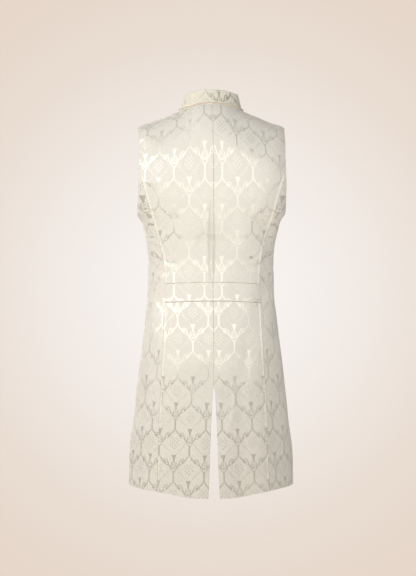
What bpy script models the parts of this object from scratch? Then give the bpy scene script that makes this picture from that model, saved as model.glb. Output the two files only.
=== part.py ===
"""A long sleeveless waistcoat in ivory damask, filled out as when it is worn, with nobody in it.

Twelve pieces of cloth are cut and sewn: two upper backs, a waist band in two halves, two back skirts
with a vent between them, two side panels, two fronts, a stand collar and the piping in its seam. Seven
covered buttons close it.

Every panel is a wall of cloth whose outer face lies on one hollow figure. The figure is worked out from a
few rings between the hem and the chest, and from arches that run over the shoulders above the chest. The
back faces +Y, the wearer's left is +X, and the origin is in the middle of the neck, level with the side
neck points.
"""

import math

import bmesh
import bpy
import numpy as np

# Lengths are in metres. A height or a rise is measured up from the hem at the centre back.
NECK_POINT_HEIGHT = 0.946
CLOTH = 0.002
SEAM_GAP = 0.0003
HALF_SEAM = SEAM_GAP / 2

# Rings of the figure. Squareness 2 is an ellipse, and a higher one is nearer to a rectangle with round
# corners.
CHEST_RISE = 0.760
FIGURE_COLUMNS = ("height", "half_width", "back", "front", "squareness")
FIGURE = (
    (0.000, 0.2043, 0.145, 0.140, 2.15),
    (0.110, 0.1993, 0.142, 0.136, 2.15),
    (0.230, 0.1865, 0.137, 0.130, 2.15),
    (0.350, 0.1735, 0.130, 0.124, 2.20),
    (0.430, 0.1637, 0.118, 0.118, 2.20),
    (0.500, 0.1575, 0.103, 0.114, 2.25),
    (0.560, 0.1562, 0.098, 0.113, 2.25),
    (0.610, 0.1600, 0.101, 0.115, 2.35),
    (0.650, 0.1675, 0.107, 0.119, 2.50),
    (0.669, 0.1725, 0.110, 0.121, 2.65),
    (0.689, 0.1855, 0.113, 0.123, 2.80),
    (0.720, 0.1920, 0.118, 0.125, 2.90),
    (CHEST_RISE, 0.2000, 0.122, 0.125, 3.00),
)

# The ridge of the shoulders, from just across the middle of the neck out to the tip of the shoulder.
SHOULDER_COLUMNS = ("across", "height")
SHOULDER = (
    (-0.0300, 0.980),
    (0.0000, 0.988),
    (0.0300, 0.980),
    (0.0550, 0.963),
    (0.0775, 0.947),
    (0.1000, 0.936),
    (0.1250, 0.926),
    (0.1500, 0.917),
    (0.1700, 0.911),
    (0.1850, 0.902),
)
# Above the chest, a rise of this much takes a point from the chest ring up to the ridge.
ARCH_RISE = 0.240
RIDGE_RISE = CHEST_RISE + ARCH_RISE
SHOULDER_TRIM = 0.0004

# The armhole is cut where the figure is this wide, by the rise of its edge from the underarm to the shoulder.
ARMHOLE_COLUMNS = ("rise", "across")
ARMHOLE = (
    (0.689, 0.1845),
    (0.740, 0.1812),
    (0.840, 0.1800),
    (0.930, 0.1812),
    (1.000, 0.1838),
)
SHOULDER_TIP_ACROSS = ARMHOLE[-1][1]
SIDE_BACK_CORNER = 0.785
SIDE_FRONT_DEPTH = -0.025
BELOW_UNDERARM = 0.660
BACK_ROWS_TO_ARMHOLE = 10
BACK_ROWS_AT_ARMHOLE = 7
FRONT_ROWS_AT_ARMHOLE = 13
FRONT_ROW_CROWDING = 1.25

# The side-back seam's distance from the centre-back seam.
SIDE_BACK_COLUMNS = ("height", "across")
SIDE_BACK_SEAM = (
    (0.000, 0.1350),
    (0.250, 0.1270),
    (0.320, 0.1230),
    (0.400, 0.1190),
    (0.467, 0.1170),
    (0.523, 0.1160),
    (0.574, 0.1200),
    (0.684, 0.1495),
    (0.720, 0.1590),
    (0.764, 0.1720),
    (SIDE_BACK_CORNER, 0.1785),
)

BAND_TOP = 0.5175
BAND_BOTTOM = 0.4720
BAND_DROOP = 0.0040
BAND_RAISE = 0.0006

# The vent between the back skirts: half of its gap at each height.
VENT_TOP = 0.270
VENT_COLUMNS = ("height", "half_gap")
VENT = (
    (0.000, 0.0138),
    (0.036, 0.0120),
    (0.138, 0.0084),
    (0.246, 0.0030),
    (VENT_TOP, 0.0005),
    (VENT_TOP + 0.003, HALF_SEAM),
)

# The hem's height by its turn in degrees from the centre back.
HEM_COLUMNS = ("turn", "height")
HEM = (
    (0.0, 0.0000),
    (21.0, 0.0020),
    (43.0, 0.0105),
    (60.0, 0.0145),
    (90.0, 0.0180),
    (135.0, 0.0200),
    (200.0, 0.0200),
)

# How far a front's edge stays short of the centre front. It is less than nothing where the fronts lap.
LAP = 0.018
FRONT_EDGE_COLUMNS = ("height", "short_of_centre")
FRONT_EDGE = (
    (0.000, 0.0480),
    (0.150, 0.0360),
    (0.270, 0.0240),
    (0.360, 0.0120),
    (0.440, -0.0040),
    (0.500, -LAP),
)
UNDERLAP_SINKS_FROM = 0.050
UNDERLAP_SUNK_AT = 0.026
UNDERLAP = CLOTH + 0.0011

# The neck seam and the stand collar on it, as half ellipses behind and in front of the side neck points.
NECK_HALF_WIDTH = 0.0775
NECK_BACK = 0.060
NECK_FRONT = 0.100
PIPING_RADIUS = 0.0020
PIPING_PROUD = 0.0003
# What the panels' necklines stay outside the seam, so that the cord lies clear in it.
NECK_CLEAR_SIDE = 0.0029
NECK_CLEAR_BACK = 0.0022
NECK_CLEAR_FRONT = 0.0020
COLLAR_CLOTH = 0.0024
COLLAR_TOP_HALF_WIDTH = 0.0665
COLLAR_TOP_BACK = 0.053
COLLAR_TOP_FRONT = 0.087
COLLAR_COLUMNS = ("turn", "stand")
COLLAR = (
    (0.0, 0.0335),
    (90.0, 0.0400),
    (180.0, 0.0370),
)
COLLAR_COLUMN_COUNT = 51
COLLAR_CROWDING = 0.9
COLLAR_CORNER = 0.012
COLLAR_END_GAP = 0.0015

BUTTON_COUNT = 7
TOP_BUTTON = 0.862
LOWEST_BUTTON = 0.505
BUTTON_RADIUS = 0.008
BUTTON_HEIGHT = 0.0048
BUTTON_CLEAR = 0.0004
BUTTON_SIDES = 14

# A fold is a ridge, or a trough where its depth is negative, that runs down the skirt. It starts at its
# top and grows to its full depth at the hem. Its turn and spread are in degrees, and the wearer's left is
# side 1.
FOLD_COLUMNS = ("side", "turn", "spread", "depth", "top")
FOLDS = (
    (1, 12.0, 8.0, 0.0020, 0.30),
    (1, 31.0, 8.0, -0.0024, 0.36),
    (1, 52.0, 9.0, 0.0026, 0.40),
    (1, 70.0, 8.0, -0.0030, 0.42),
    (1, 88.0, 9.0, 0.0022, 0.44),
    (1, 112.0, 12.0, -0.0030, 0.42),
    (1, 138.0, 11.0, 0.0030, 0.38),
    (-1, 10.0, 8.0, 0.0018, 0.28),
    (-1, 27.0, 8.0, -0.0032, 0.38),
    (-1, 45.0, 7.0, 0.0026, 0.40),
    (-1, 62.0, 8.0, -0.0034, 0.44),
    (-1, 84.0, 9.0, 0.0028, 0.46),
    (-1, 106.0, 11.0, -0.0030, 0.40),
    (-1, 134.0, 12.0, 0.0028, 0.38),
)

# The pinch beside the centre-back seam above the waist: a trough on each side, deeper on the wearer's left.
PINCH_LOW = 0.515
PINCH_HIGH = 0.715
PINCH_DEPTH = {1: 0.0030, -1: 0.0020}
PINCH_SHARE = 0.045
PINCH_SPREAD = 0.022
PINCH_END_SHARE = 0.10


def read(rows, names, column, places):
    """Values of a table's column at places along its first one, on a smooth curve that never overshoots."""
    known = np.array([row[0] for row in rows])
    values = np.array([row[names.index(column)] for row in rows])
    secants = np.diff(values) / np.diff(known)
    before, after = secants[:-1], secants[1:]
    level = before * after <= 0
    middle = np.where(level, 0, 2 * before * after / np.where(level, 1, before + after))
    slopes = np.concatenate([secants[:1], middle, secants[-1:]])
    places = np.clip(places, known[0], known[-1])
    index = np.clip(np.searchsorted(known, places) - 1, 0, len(known) - 2)
    step = known[index + 1] - known[index]
    t = (places - known[index]) / step
    return (
        (2 * t**3 - 3 * t**2 + 1) * values[index]
        + (t**3 - 2 * t**2 + t) * step * slopes[index]
        + (3 * t**2 - 2 * t**3) * values[index + 1]
        + (t**3 - t**2) * step * slopes[index + 1]
    )


def ease(share):
    """0 up to 1 with a level start and end."""
    share = np.clip(share, 0, 1)
    return share * share * (3 - 2 * share)


def ring(rise, in_front):
    """Half width, depth and squareness of the figure's ring at a rise, on its front or its back."""
    level = np.minimum(rise, CHEST_RISE)
    back = read(FIGURE, FIGURE_COLUMNS, "back", level)
    front = read(FIGURE, FIGURE_COLUMNS, "front", level)
    half_width = read(FIGURE, FIGURE_COLUMNS, "half_width", level)
    squareness = read(FIGURE, FIGURE_COLUMNS, "squareness", level)
    return half_width, np.where(in_front, front, back), squareness


def figure(turn, rise):
    """Points of the figure. A turn goes from the centre back (0) by the side (pi / 2) to the centre front.

    Up to the chest a ring is a superellipse. Above the chest a point keeps its distance from the centre
    plane and climbs a quarter of an ellipse, from the chest ring up to the ridge of the shoulder.
    """
    half_width, depth, power = ring(rise, np.cos(turn) < 0)
    across_part = np.abs(np.sin(turn) / half_width) ** power
    deep_part = np.abs(np.cos(turn) / depth) ** power
    reach = (across_part + deep_part) ** (-1 / power)
    across = reach * np.sin(turn)
    arch = (rise - CHEST_RISE) / ARCH_RISE * math.pi / 2
    arch = np.clip(arch, 0, None)
    ridge = read(SHOULDER, SHOULDER_COLUMNS, "height", np.abs(across))
    height = np.minimum(rise, CHEST_RISE) + (ridge - CHEST_RISE) * np.sin(arch)
    return np.stack([across, reach * np.cos(turn) * np.cos(arch), height], axis=-1)


def outward(turn, rise):
    """The figure's unit normals, from its slopes along the turn and along the rise."""
    small_turn = 1e-3
    small_rise = 1e-4
    along = figure(turn + small_turn, rise) - figure(turn - small_turn, rise)
    upward = figure(turn, rise + small_rise) - figure(turn, rise - small_rise)
    normal = np.cross(upward, along)
    return normal / np.linalg.norm(normal, axis=-1, keepdims=True)


def rise_of(height):
    """The rise of a point on the centre front or the centre back that lies at this height."""
    ridge = read(SHOULDER, SHOULDER_COLUMNS, "height", 0)
    arch = math.asin(min(max(height - CHEST_RISE, 0) / (ridge - CHEST_RISE), 1))
    return min(height, CHEST_RISE) + arch / (math.pi / 2) * ARCH_RISE


def turn_at(across, rise, in_front):
    """The turn at which the figure lies this far from the centre plane."""
    half_width, depth, power = ring(rise, in_front)
    share = np.clip(np.abs(across) / half_width, 0, 1)
    deep = depth * (1 - share**power) ** (1 / power)
    turn = np.arctan2(across, deep)
    return np.where(in_front, math.pi - turn, turn)


def side_back_across(rise):
    return read(SIDE_BACK_SEAM, SIDE_BACK_COLUMNS, "across", rise)


def side_front_turn(rise):
    """The turn of the seam between side panel and front, which hangs straight at one depth."""
    half_width, depth, power = ring(rise, True)
    across = half_width * (1 - (-SIDE_FRONT_DEPTH / depth) ** power) ** (1 / power)
    return np.arctan2(across, SIDE_FRONT_DEPTH)


def armhole_across(rise):
    return read(ARMHOLE, ARMHOLE_COLUMNS, "across", rise)


def armhole_rise(turn_of_rise, low, high):
    """The rise at which a line on the figure, given as its turn at each rise, meets the armhole's edge."""
    for _ in range(40):
        middle = (low + high) / 2
        outside = figure(turn_of_rise(middle), middle)[..., 0] > armhole_across(middle)
        low, high = np.where(outside, low, middle), np.where(outside, middle, high)
    return low


def neck_rise(across, in_front):
    """The rise of the panels' necklines at a distance from the centre plane, and of the ridge beyond."""
    half_width = NECK_HALF_WIDTH + NECK_CLEAR_SIDE
    depth = NECK_FRONT + NECK_CLEAR_FRONT if in_front else NECK_BACK + NECK_CLEAR_BACK
    share = np.clip(np.abs(across) / half_width, 0, 1)
    deep = depth * np.sqrt(1 - share**2)
    _, chest_depth, power = ring(CHEST_RISE, in_front)
    chest_half_width = FIGURE[-1][FIGURE_COLUMNS.index("half_width")]
    chest_deep = chest_depth * (1 - (np.abs(across) / chest_half_width) ** power) ** (1 / power)
    rise = CHEST_RISE + np.arccos(deep / chest_deep) / (math.pi / 2) * ARCH_RISE
    return np.minimum(rise, RIDGE_RISE - SHOULDER_TRIM)


def band_edge(height, across):
    """The height of a long edge of the waist band, which droops a little towards the side-back seam."""
    end = side_back_across(height)
    return height - BAND_DROOP * (across / end) ** 2


def hem_rise(turn):
    return read(HEM, HEM_COLUMNS, "height", np.degrees(turn))


def skirt_folds(side, turn, rise):
    """How far the skirt's folds stand out of the figure, or lie in it."""
    total = np.zeros_like(turn)
    for row in FOLDS:
        fold = dict(zip(FOLD_COLUMNS, row))
        if fold["side"] == side:
            growth = ease((fold["top"] - rise) / fold["top"])
            off_centre = (np.degrees(turn) - fold["turn"]) / fold["spread"]
            total += fold["depth"] * growth * np.exp(-(off_centre**2))
    return total


def pinch(side, share, rise):
    """The trough beside the centre-back seam, deepest in the middle of its length."""
    along = np.clip((rise - PINCH_LOW) / (PINCH_HIGH - PINCH_LOW), 0, 1)
    off_centre = (share - PINCH_SHARE) / PINCH_SPREAD
    return -PINCH_DEPTH[side] * np.sin(math.pi * along) * np.exp(-(off_centre**2))


def stops(*runs):
    """Places from 0 to 1 in even runs: each run is the place where it ends and its number of steps."""
    places = [0.0]
    for end, count in runs:
        places.extend(np.linspace(places[-1], end, count + 1)[1:])
    return np.array(places)


def neck_places(turns_in_degrees):
    """Distances from the centre plane at even steps along the panels' neckline, which keep it round."""
    return (NECK_HALF_WIDTH + NECK_CLEAR_SIDE) * np.sin(np.radians(turns_in_degrees))


def gathered(low_share, top_share, climb, corner):
    """Columns that keep their low places up to the armhole's corner, then draw to those on the top edge."""
    return low_share + (top_share - low_share) * ease((climb - corner) / (1 - corner))


def skirt_climb():
    """Rows of a back skirt, from the hem (0) to the waist band (1), with one level with the vent's top."""
    return stops((VENT_TOP / BAND_BOTTOM, 8), (1, 4))


def side_back_rows():
    """Heights of the rows along the side-back seam, the same on both sides so that its gap is even."""
    skirt_top = BAND_BOTTOM - BAND_DROOP
    back_bottom = BAND_TOP - BAND_DROOP
    hem = hem_rise(turn_at(side_back_across(0), 0, in_front=False))
    skirt = hem + (skirt_top - hem) * skirt_climb()
    back = np.linspace(back_bottom, SIDE_BACK_CORNER, BACK_ROWS_TO_ARMHOLE + 1)
    return np.concatenate([skirt, back])


def side_climb():
    """Rows of a side panel, from the hem (0) to the armhole (1)."""
    rows = side_back_rows()
    return (rows - rows[0]) / (rows[-1] - rows[0])


def to_world(points, side):
    """Points measured on the wearer's left, up from the hem, as world points on the given side."""
    world = points * np.array([side, 1, 1])
    world[..., 2] -= NECK_POINT_HEIGHT
    return world


def cloth_material(name, colour, roughness):
    material = bpy.data.materials.new(name)
    material.use_nodes = True
    shader = material.node_tree.nodes["Principled BSDF"]
    shader.inputs["Base Color"].default_value = (*colour, 1)
    shader.inputs["Roughness"].default_value = roughness
    shader.inputs["Metallic"].default_value = 0
    return material


def add_object(name, mesh, material):
    """Puts a finished bmesh in the scene with its faces turned outwards."""
    bmesh.ops.recalc_face_normals(mesh, faces=mesh.faces)
    data = bpy.data.meshes.new(name)
    mesh.to_mesh(data)
    mesh.free()
    data.shade_smooth()
    data.materials.append(material)
    bpy.context.collection.objects.link(bpy.data.objects.new(name, data))


def add_wall(name, outer, inner, material):
    """A closed wall between two grids of points with the same rows and columns."""
    mesh = bmesh.new()
    outside = [[mesh.verts.new(point) for point in row] for row in outer]
    inside = [[mesh.verts.new(point) for point in row] for row in inner]
    rows, columns = outer.shape[:2]
    for row in range(rows - 1):
        for column in range(columns - 1):
            for grid in (outside, inside):
                low, high = grid[row], grid[row + 1]
                mesh.faces.new((low[column], low[column + 1], high[column + 1], high[column]))
    rim = [(0, column) for column in range(columns - 1)]
    rim += [(row, columns - 1) for row in range(rows - 1)]
    rim += [(rows - 1, column) for column in range(columns - 1, 0, -1)]
    rim += [(row, 0) for row in range(rows - 1, 0, -1)]
    for (row, column), (next_row, next_column) in zip(rim, rim[1:] + rim[:1]):
        mesh.faces.new(
            (
                outside[row][column],
                outside[next_row][next_column],
                inside[next_row][next_column],
                inside[row][column],
            )
        )
    add_object(name, mesh, material)


def add_panel(name, side, turn, rise, lift, colour):
    """A panel of cloth: its outer face on the figure, lifted off it where folds and laps say so."""
    normal = outward(turn, rise)
    outer = figure(turn, rise) + normal * lift[..., None]
    inner = outer - normal * CLOTH
    material = cloth_material(name, colour, roughness=0.6)
    add_wall(name, to_world(outer, side), to_world(inner, side), material)


def add_back(name, side, colour):
    """An upper back: waist band to shoulder, centre-back seam to side-back seam and armhole."""

    def outer_edge(rise):
        return np.where(rise < SIDE_BACK_CORNER, side_back_across(rise) - HALF_SEAM, armhole_across(rise))

    low_share = stops((PINCH_SHARE, 1), (PINCH_END_SHARE, 1), (1, 10))
    neck_share = neck_places(np.arange(15, 91, 15)) / SHOULDER_TIP_ACROSS
    shoulder_share = np.linspace(neck_share[-1], 1, 6)[1:]
    top_share = np.concatenate([[0, PINCH_SHARE], neck_share, shoulder_share])
    low_edge = BAND_TOP - BAND_DROOP
    corner = (SIDE_BACK_CORNER - low_edge) / (RIDGE_RISE - low_edge)
    climb = stops((corner, BACK_ROWS_TO_ARMHOLE), (1, BACK_ROWS_AT_ARMHOLE))[:, None]
    share = gathered(low_share, top_share, climb, corner)
    bottom = band_edge(BAND_TOP, low_share * side_back_across(BAND_TOP)) + HALF_SEAM
    top = neck_rise(top_share * SHOULDER_TIP_ACROSS, in_front=False)
    rise = bottom + (top - bottom) * climb
    across = HALF_SEAM + (outer_edge(rise) - HALF_SEAM) * share
    turn = turn_at(across, rise, in_front=False)
    add_panel(name, side, turn, rise, pinch(side, share, rise), colour)


def add_waistband(name, side, colour):
    """Half of the band across the back waist, which lies a little proud of the cloth above and below it."""
    share = stops((PINCH_SHARE, 1), (PINCH_END_SHARE, 1), (1, 10))
    climb = stops((1, 1))[:, None]
    ends = side_back_across(BAND_BOTTOM) * share
    bottom = band_edge(BAND_BOTTOM, ends) + HALF_SEAM
    top = band_edge(BAND_TOP, ends) - HALF_SEAM
    rise = bottom + (top - bottom) * climb
    across = HALF_SEAM + (side_back_across(rise) - SEAM_GAP) * share
    turn = turn_at(across, rise, in_front=False)
    add_panel(name, side, turn, rise, np.full_like(rise, BAND_RAISE), colour)


def add_skirt_back(name, side, colour):
    """A back skirt: waist band to hem, with the open vent's edge below the centre-back seam."""
    share = stops((0.24, 3), (0.80, 5), (1, 2))
    climb = skirt_climb()[:, None]
    top = band_edge(BAND_BOTTOM, share * side_back_across(BAND_BOTTOM)) - HALF_SEAM
    hem_turn = turn_at(share * side_back_across(0), 0, in_front=False)
    bottom = hem_rise(hem_turn)
    rise = bottom + (top - bottom) * climb
    inner_edge = read(VENT, VENT_COLUMNS, "half_gap", rise)
    across = inner_edge + (side_back_across(rise) - HALF_SEAM - inner_edge) * share
    turn = turn_at(across, rise, in_front=False)
    add_panel(name, side, turn, rise, skirt_folds(side, turn, rise), colour)


def add_side(name, side, colour):
    """A side panel in one piece, from under the armhole to the hem."""
    share = stops((0.30, 3), (1, 5))
    climb = side_climb()[:, None]

    def panel_turn(rise):
        trim = HALF_SEAM / ring(rise, False)[0]
        start = turn_at(side_back_across(rise), rise, in_front=False) + trim
        end = side_front_turn(rise) - trim
        return start + (end - start) * share

    low = np.full_like(share, BELOW_UNDERARM)
    high = np.full_like(share, SIDE_BACK_CORNER)
    top = armhole_rise(panel_turn, low, high)
    bottom = hem_rise(panel_turn(np.zeros_like(share)))
    rise = bottom + (top - bottom) * climb
    turn = panel_turn(rise)
    add_panel(name, side, turn, rise, skirt_folds(side, turn, rise), colour)


def add_front(name, side, colour):
    """A front in one piece from shoulder to hem. The wearer's right front sinks under the left at the lap."""
    lowest, highest = np.array(BELOW_UNDERARM), np.array(SIDE_BACK_CORNER)
    armhole_bottom = float(armhole_rise(side_front_turn, lowest, highest))

    def outer_edge(rise):
        seam = figure(side_front_turn(rise), rise)[..., 0]
        return np.where(rise < armhole_bottom, seam, armhole_across(rise))

    def seam_turn(rise):
        trim = HALF_SEAM / ring(rise, False)[0]
        on_seam = side_front_turn(rise) + trim
        on_armhole = turn_at(armhole_across(rise), rise, in_front=True)
        return np.where(rise < armhole_bottom + SEAM_GAP, on_seam, on_armhole)

    def centre_edge(rise):
        return read(FRONT_EDGE, FRONT_EDGE_COLUMNS, "short_of_centre", rise)

    # Low down, columns are close together where the figure turns the side. At the top they follow the
    # neckline.
    neck_across = neck_places(np.array([90, 75, 60, 45, 30, 15, 0]))
    shoulder_across = np.linspace(SHOULDER_TIP_ACROSS, neck_across[0], 6)[:-1]
    top_across = np.concatenate([shoulder_across, neck_across, [-LAP]])
    top_share = (SHOULDER_TIP_ACROSS - top_across) / (SHOULDER_TIP_ACROSS + LAP)
    low_share = 1 - np.cos(stops((1, len(top_share) - 1)) * math.pi / 2)
    top = neck_rise(top_across, in_front=True)
    bottom_across = outer_edge(0) + (centre_edge(0) - outer_edge(0)) * low_share
    bottom = hem_rise(turn_at(bottom_across, 0, in_front=True))
    corner = (armhole_bottom - bottom[0]) / (top[0] - bottom[0])
    above_corner = corner + (1 - corner) * stops((1, FRONT_ROWS_AT_ARMHOLE)) ** FRONT_ROW_CROWDING
    climb = np.concatenate([corner * side_climb(), above_corner[1:]])[:, None]
    share = gathered(low_share, top_share, climb, corner)
    rise = bottom + (top - bottom) * climb
    across = outer_edge(rise) + (centre_edge(rise) - outer_edge(rise)) * share
    turn = turn_at(across, rise, in_front=True)
    turn[:, 0] = seam_turn(rise[:, 0])
    lift = skirt_folds(side, turn, rise)
    if side < 0:
        sunk = ease((UNDERLAP_SINKS_FROM - across) / (UNDERLAP_SINKS_FROM - UNDERLAP_SUNK_AT))
        lift = lift - UNDERLAP * sunk
    add_panel(name, side, turn, rise, lift, colour)


def neck_line(around):
    """Points of the neck seam. Around goes from 0 at the centre back to pi at the centre front."""
    across = NECK_HALF_WIDTH * np.sin(around)
    deep = np.where(np.cos(around) < 0, NECK_FRONT, NECK_BACK) * np.cos(around)
    _, chest_depth, power = ring(CHEST_RISE, np.cos(around) < 0)
    chest_half_width = FIGURE[-1][FIGURE_COLUMNS.index("half_width")]
    chest_deep = chest_depth * (1 - (np.abs(across) / chest_half_width) ** power) ** (1 / power)
    arch = np.arccos(np.clip(np.abs(deep) / chest_deep, 0, 1))
    ridge = read(SHOULDER, SHOULDER_COLUMNS, "height", np.abs(across))
    height = CHEST_RISE + (ridge - CHEST_RISE) * np.sin(arch)
    turn = turn_at(across, CHEST_RISE + 0 * across, np.cos(around) < 0)
    normal = outward(turn, CHEST_RISE + arch / (math.pi / 2) * ARCH_RISE)
    return np.stack([across, deep, height], axis=-1) + normal * PIPING_PROUD


def collar_top_line(around):
    """Points of the collar's top edge, above the neck seam and drawn in towards the neck."""
    depth = np.where(np.cos(around) < 0, COLLAR_TOP_FRONT, COLLAR_TOP_BACK)
    top = neck_line(around)
    top[..., 0] = COLLAR_TOP_HALF_WIDTH * np.sin(around)
    top[..., 1] = depth * np.cos(around)
    top[..., 2] += read(COLLAR, COLLAR_COLUMNS, "stand", np.degrees(np.abs(around)))
    return top


def collar_arounds():
    """Arounds from one end of the collar to the other, closer together at its ends."""
    end = math.pi - COLLAR_END_GAP / NECK_HALF_WIDTH
    quarter = math.pi / 2 * COLLAR_CROWDING
    return end * np.sin(np.linspace(-quarter, quarter, COLLAR_COLUMN_COUNT)) / math.sin(quarter)


def add_collar(colour):
    """The stand collar: a wall from just above the piping to its top edge, with rounded front corners."""
    around = collar_arounds()
    base, top = neck_line(around), collar_top_line(around)
    stand = np.linalg.norm(top - base, axis=-1)
    along = np.gradient(base, axis=0)
    normal = np.cross(along, top - base)
    squareness = np.linalg.norm(normal, axis=-1) / np.linalg.norm(along, axis=-1) / stand
    clear = (PIPING_RADIUS + SEAM_GAP) / squareness / stand
    run = np.linalg.norm(np.diff(base, axis=0), axis=-1)
    from_start = np.concatenate([[0], np.cumsum(run)])
    from_end = np.minimum(from_start, from_start[-1] - from_start)
    short = np.clip(COLLAR_CORNER - from_end, 0, COLLAR_CORNER)
    corner_drop = COLLAR_CORNER - np.sqrt(COLLAR_CORNER**2 - short**2)
    reach = 1 - corner_drop / stand
    climb = stops((1, 4))[:, None]
    share = (clear + (reach - clear) * climb)[..., None]
    outer = base + (top - base) * share
    normal /= np.linalg.norm(normal, axis=-1, keepdims=True)
    neck_middle = np.array([0, (NECK_BACK - NECK_FRONT) / 2, 0])
    outwards = np.sign(np.sum((base - neck_middle) * normal * [1, 1, 0], axis=-1))
    inner = outer - (normal * outwards[:, None]) * COLLAR_CLOTH
    material = cloth_material("collar", colour, roughness=0.6)
    add_wall("collar", to_world(outer, 1), to_world(inner, 1), material)


def add_piping(colour):
    """The cord in the neck seam, from one end of the collar round the neck to the other."""
    points = to_world(neck_line(collar_arounds()), 1)
    curve = bpy.data.curves.new("collar_piping", "CURVE")
    curve.dimensions = "3D"
    curve.bevel_depth = PIPING_RADIUS
    curve.bevel_resolution = 2
    curve.use_fill_caps = True
    spline = curve.splines.new("POLY")
    spline.points.add(len(points) - 1)
    spline.points.foreach_set("co", np.column_stack([points, np.ones(len(points))]).ravel())
    curve.materials.append(cloth_material("collar_piping", colour, roughness=0.4))
    bpy.context.collection.objects.link(bpy.data.objects.new("collar_piping", curve))


def add_button(name, rise, colour):
    """A covered button on the left front at the centre front: a flat back, a rounded edge and a low dome."""
    place = to_world(figure(math.pi, rise), 1)
    normal = outward(math.pi, rise)
    upward = np.cross(normal, [1, 0, 0])
    profile = ((0.80, 0.0), (1.0, 0.22), (0.96, 0.48), (0.62, 0.86))
    angles = np.arange(BUTTON_SIDES) * 2 * math.pi / BUTTON_SIDES
    mesh = bmesh.new()
    base = place + normal * BUTTON_CLEAR
    rings = []
    for radius_share, height_share in profile:
        centre = base + normal * (height_share * BUTTON_HEIGHT)
        radius = radius_share * BUTTON_RADIUS
        spokes = [math.cos(a) * np.array([1, 0, 0]) + math.sin(a) * upward for a in angles]
        rings.append([mesh.verts.new(centre + radius * spoke) for spoke in spokes])
    for lower, upper in zip(rings, rings[1:]):
        for index in range(BUTTON_SIDES):
            following = (index + 1) % BUTTON_SIDES
            mesh.faces.new((lower[index], lower[following], upper[following], upper[index]))
    mesh.faces.new(rings[0])
    crown = mesh.verts.new(base + normal * BUTTON_HEIGHT)
    for index in range(BUTTON_SIDES):
        mesh.faces.new((rings[-1][index], rings[-1][(index + 1) % BUTTON_SIDES], crown))
    add_object(name, mesh, cloth_material(name, colour, roughness=0.5))


def main():
    for old in list(bpy.data.objects):
        bpy.data.objects.remove(old, do_unlink=True)

    ivory = (0.74, 0.70, 0.60)
    cream_cord = (0.80, 0.68, 0.45)
    for side, word in ((1, "left"), (-1, "right")):
        add_back(f"back_{word}", side, ivory)
        add_waistband(f"waistband_{word}", side, ivory)
        add_skirt_back(f"skirt_back_{word}", side, ivory)
        add_side(f"side_{word}", side, ivory)
        add_front(f"front_{word}", side, ivory)
    add_collar(ivory)
    add_piping(cream_cord)
    for number, height in enumerate(np.linspace(TOP_BUTTON, LOWEST_BUTTON, BUTTON_COUNT), start=1):
        add_button(f"button_{number}", rise_of(height), ivory)


main()
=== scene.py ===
"""The long waistcoat as it looks: ivory damask with its seams, creases and cord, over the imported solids.

Each panel of cloth is worked out on the same hollow figure as its solid, with many more rows and columns, as
a closed shell: an outer face, an inner face and a rounded edge. Lengths are in metres. A height or a rise is
measured up from the hem at the centre back, the back faces +Y, and the wearer's left is +X.
"""

import math

import bpy
import numpy as np
from mathutils import Matrix, Vector


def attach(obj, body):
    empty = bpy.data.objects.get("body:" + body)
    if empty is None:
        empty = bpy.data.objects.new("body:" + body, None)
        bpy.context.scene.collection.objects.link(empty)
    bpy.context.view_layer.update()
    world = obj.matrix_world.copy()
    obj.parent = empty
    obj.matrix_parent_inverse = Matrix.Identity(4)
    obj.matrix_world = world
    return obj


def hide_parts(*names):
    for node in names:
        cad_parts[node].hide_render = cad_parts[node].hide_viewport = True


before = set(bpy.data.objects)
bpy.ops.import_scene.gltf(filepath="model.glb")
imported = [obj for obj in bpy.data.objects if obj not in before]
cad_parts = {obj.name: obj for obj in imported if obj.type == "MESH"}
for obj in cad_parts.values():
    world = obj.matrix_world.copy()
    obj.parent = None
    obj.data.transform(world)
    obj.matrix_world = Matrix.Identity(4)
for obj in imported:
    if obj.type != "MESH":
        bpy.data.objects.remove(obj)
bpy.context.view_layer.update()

NECK_POINT_HEIGHT = 0.946
CLOTH = 0.0017
SEAM_GAP = 0.00012
HALF_SEAM = SEAM_GAP / 2

# Rings of the figure. Squareness 2 is an ellipse, and a higher one is nearer to a rectangle with round
# corners.
CHEST_RISE = 0.760
FIGURE_COLUMNS = ("height", "half_width", "back", "front", "squareness")
FIGURE = (
    (0.000, 0.2043, 0.145, 0.140, 2.15),
    (0.110, 0.1993, 0.142, 0.136, 2.15),
    (0.230, 0.1865, 0.137, 0.130, 2.15),
    (0.350, 0.1735, 0.130, 0.124, 2.20),
    (0.430, 0.1637, 0.118, 0.118, 2.20),
    (0.500, 0.1575, 0.103, 0.114, 2.25),
    (0.560, 0.1562, 0.098, 0.113, 2.25),
    (0.610, 0.1600, 0.101, 0.115, 2.35),
    (0.650, 0.1675, 0.107, 0.119, 2.50),
    (0.669, 0.1725, 0.110, 0.121, 2.65),
    (0.689, 0.1855, 0.113, 0.123, 2.80),
    (0.720, 0.1920, 0.118, 0.125, 2.90),
    (CHEST_RISE, 0.2000, 0.122, 0.125, 3.00),
)
CHEST_HALF_WIDTH = FIGURE[-1][1]

# The ridge of the shoulders, from just across the middle of the neck out to the tip of the shoulder.
SHOULDER_COLUMNS = ("across", "height")
SHOULDER = (
    (-0.0300, 0.980),
    (0.0000, 0.988),
    (0.0300, 0.980),
    (0.0550, 0.963),
    (0.0775, 0.947),
    (0.1000, 0.936),
    (0.1250, 0.926),
    (0.1500, 0.917),
    (0.1700, 0.911),
    (0.1850, 0.902),
)
ARCH_RISE = 0.240
RIDGE_RISE = CHEST_RISE + ARCH_RISE
SHOULDER_TRIM = 0.0004

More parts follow.
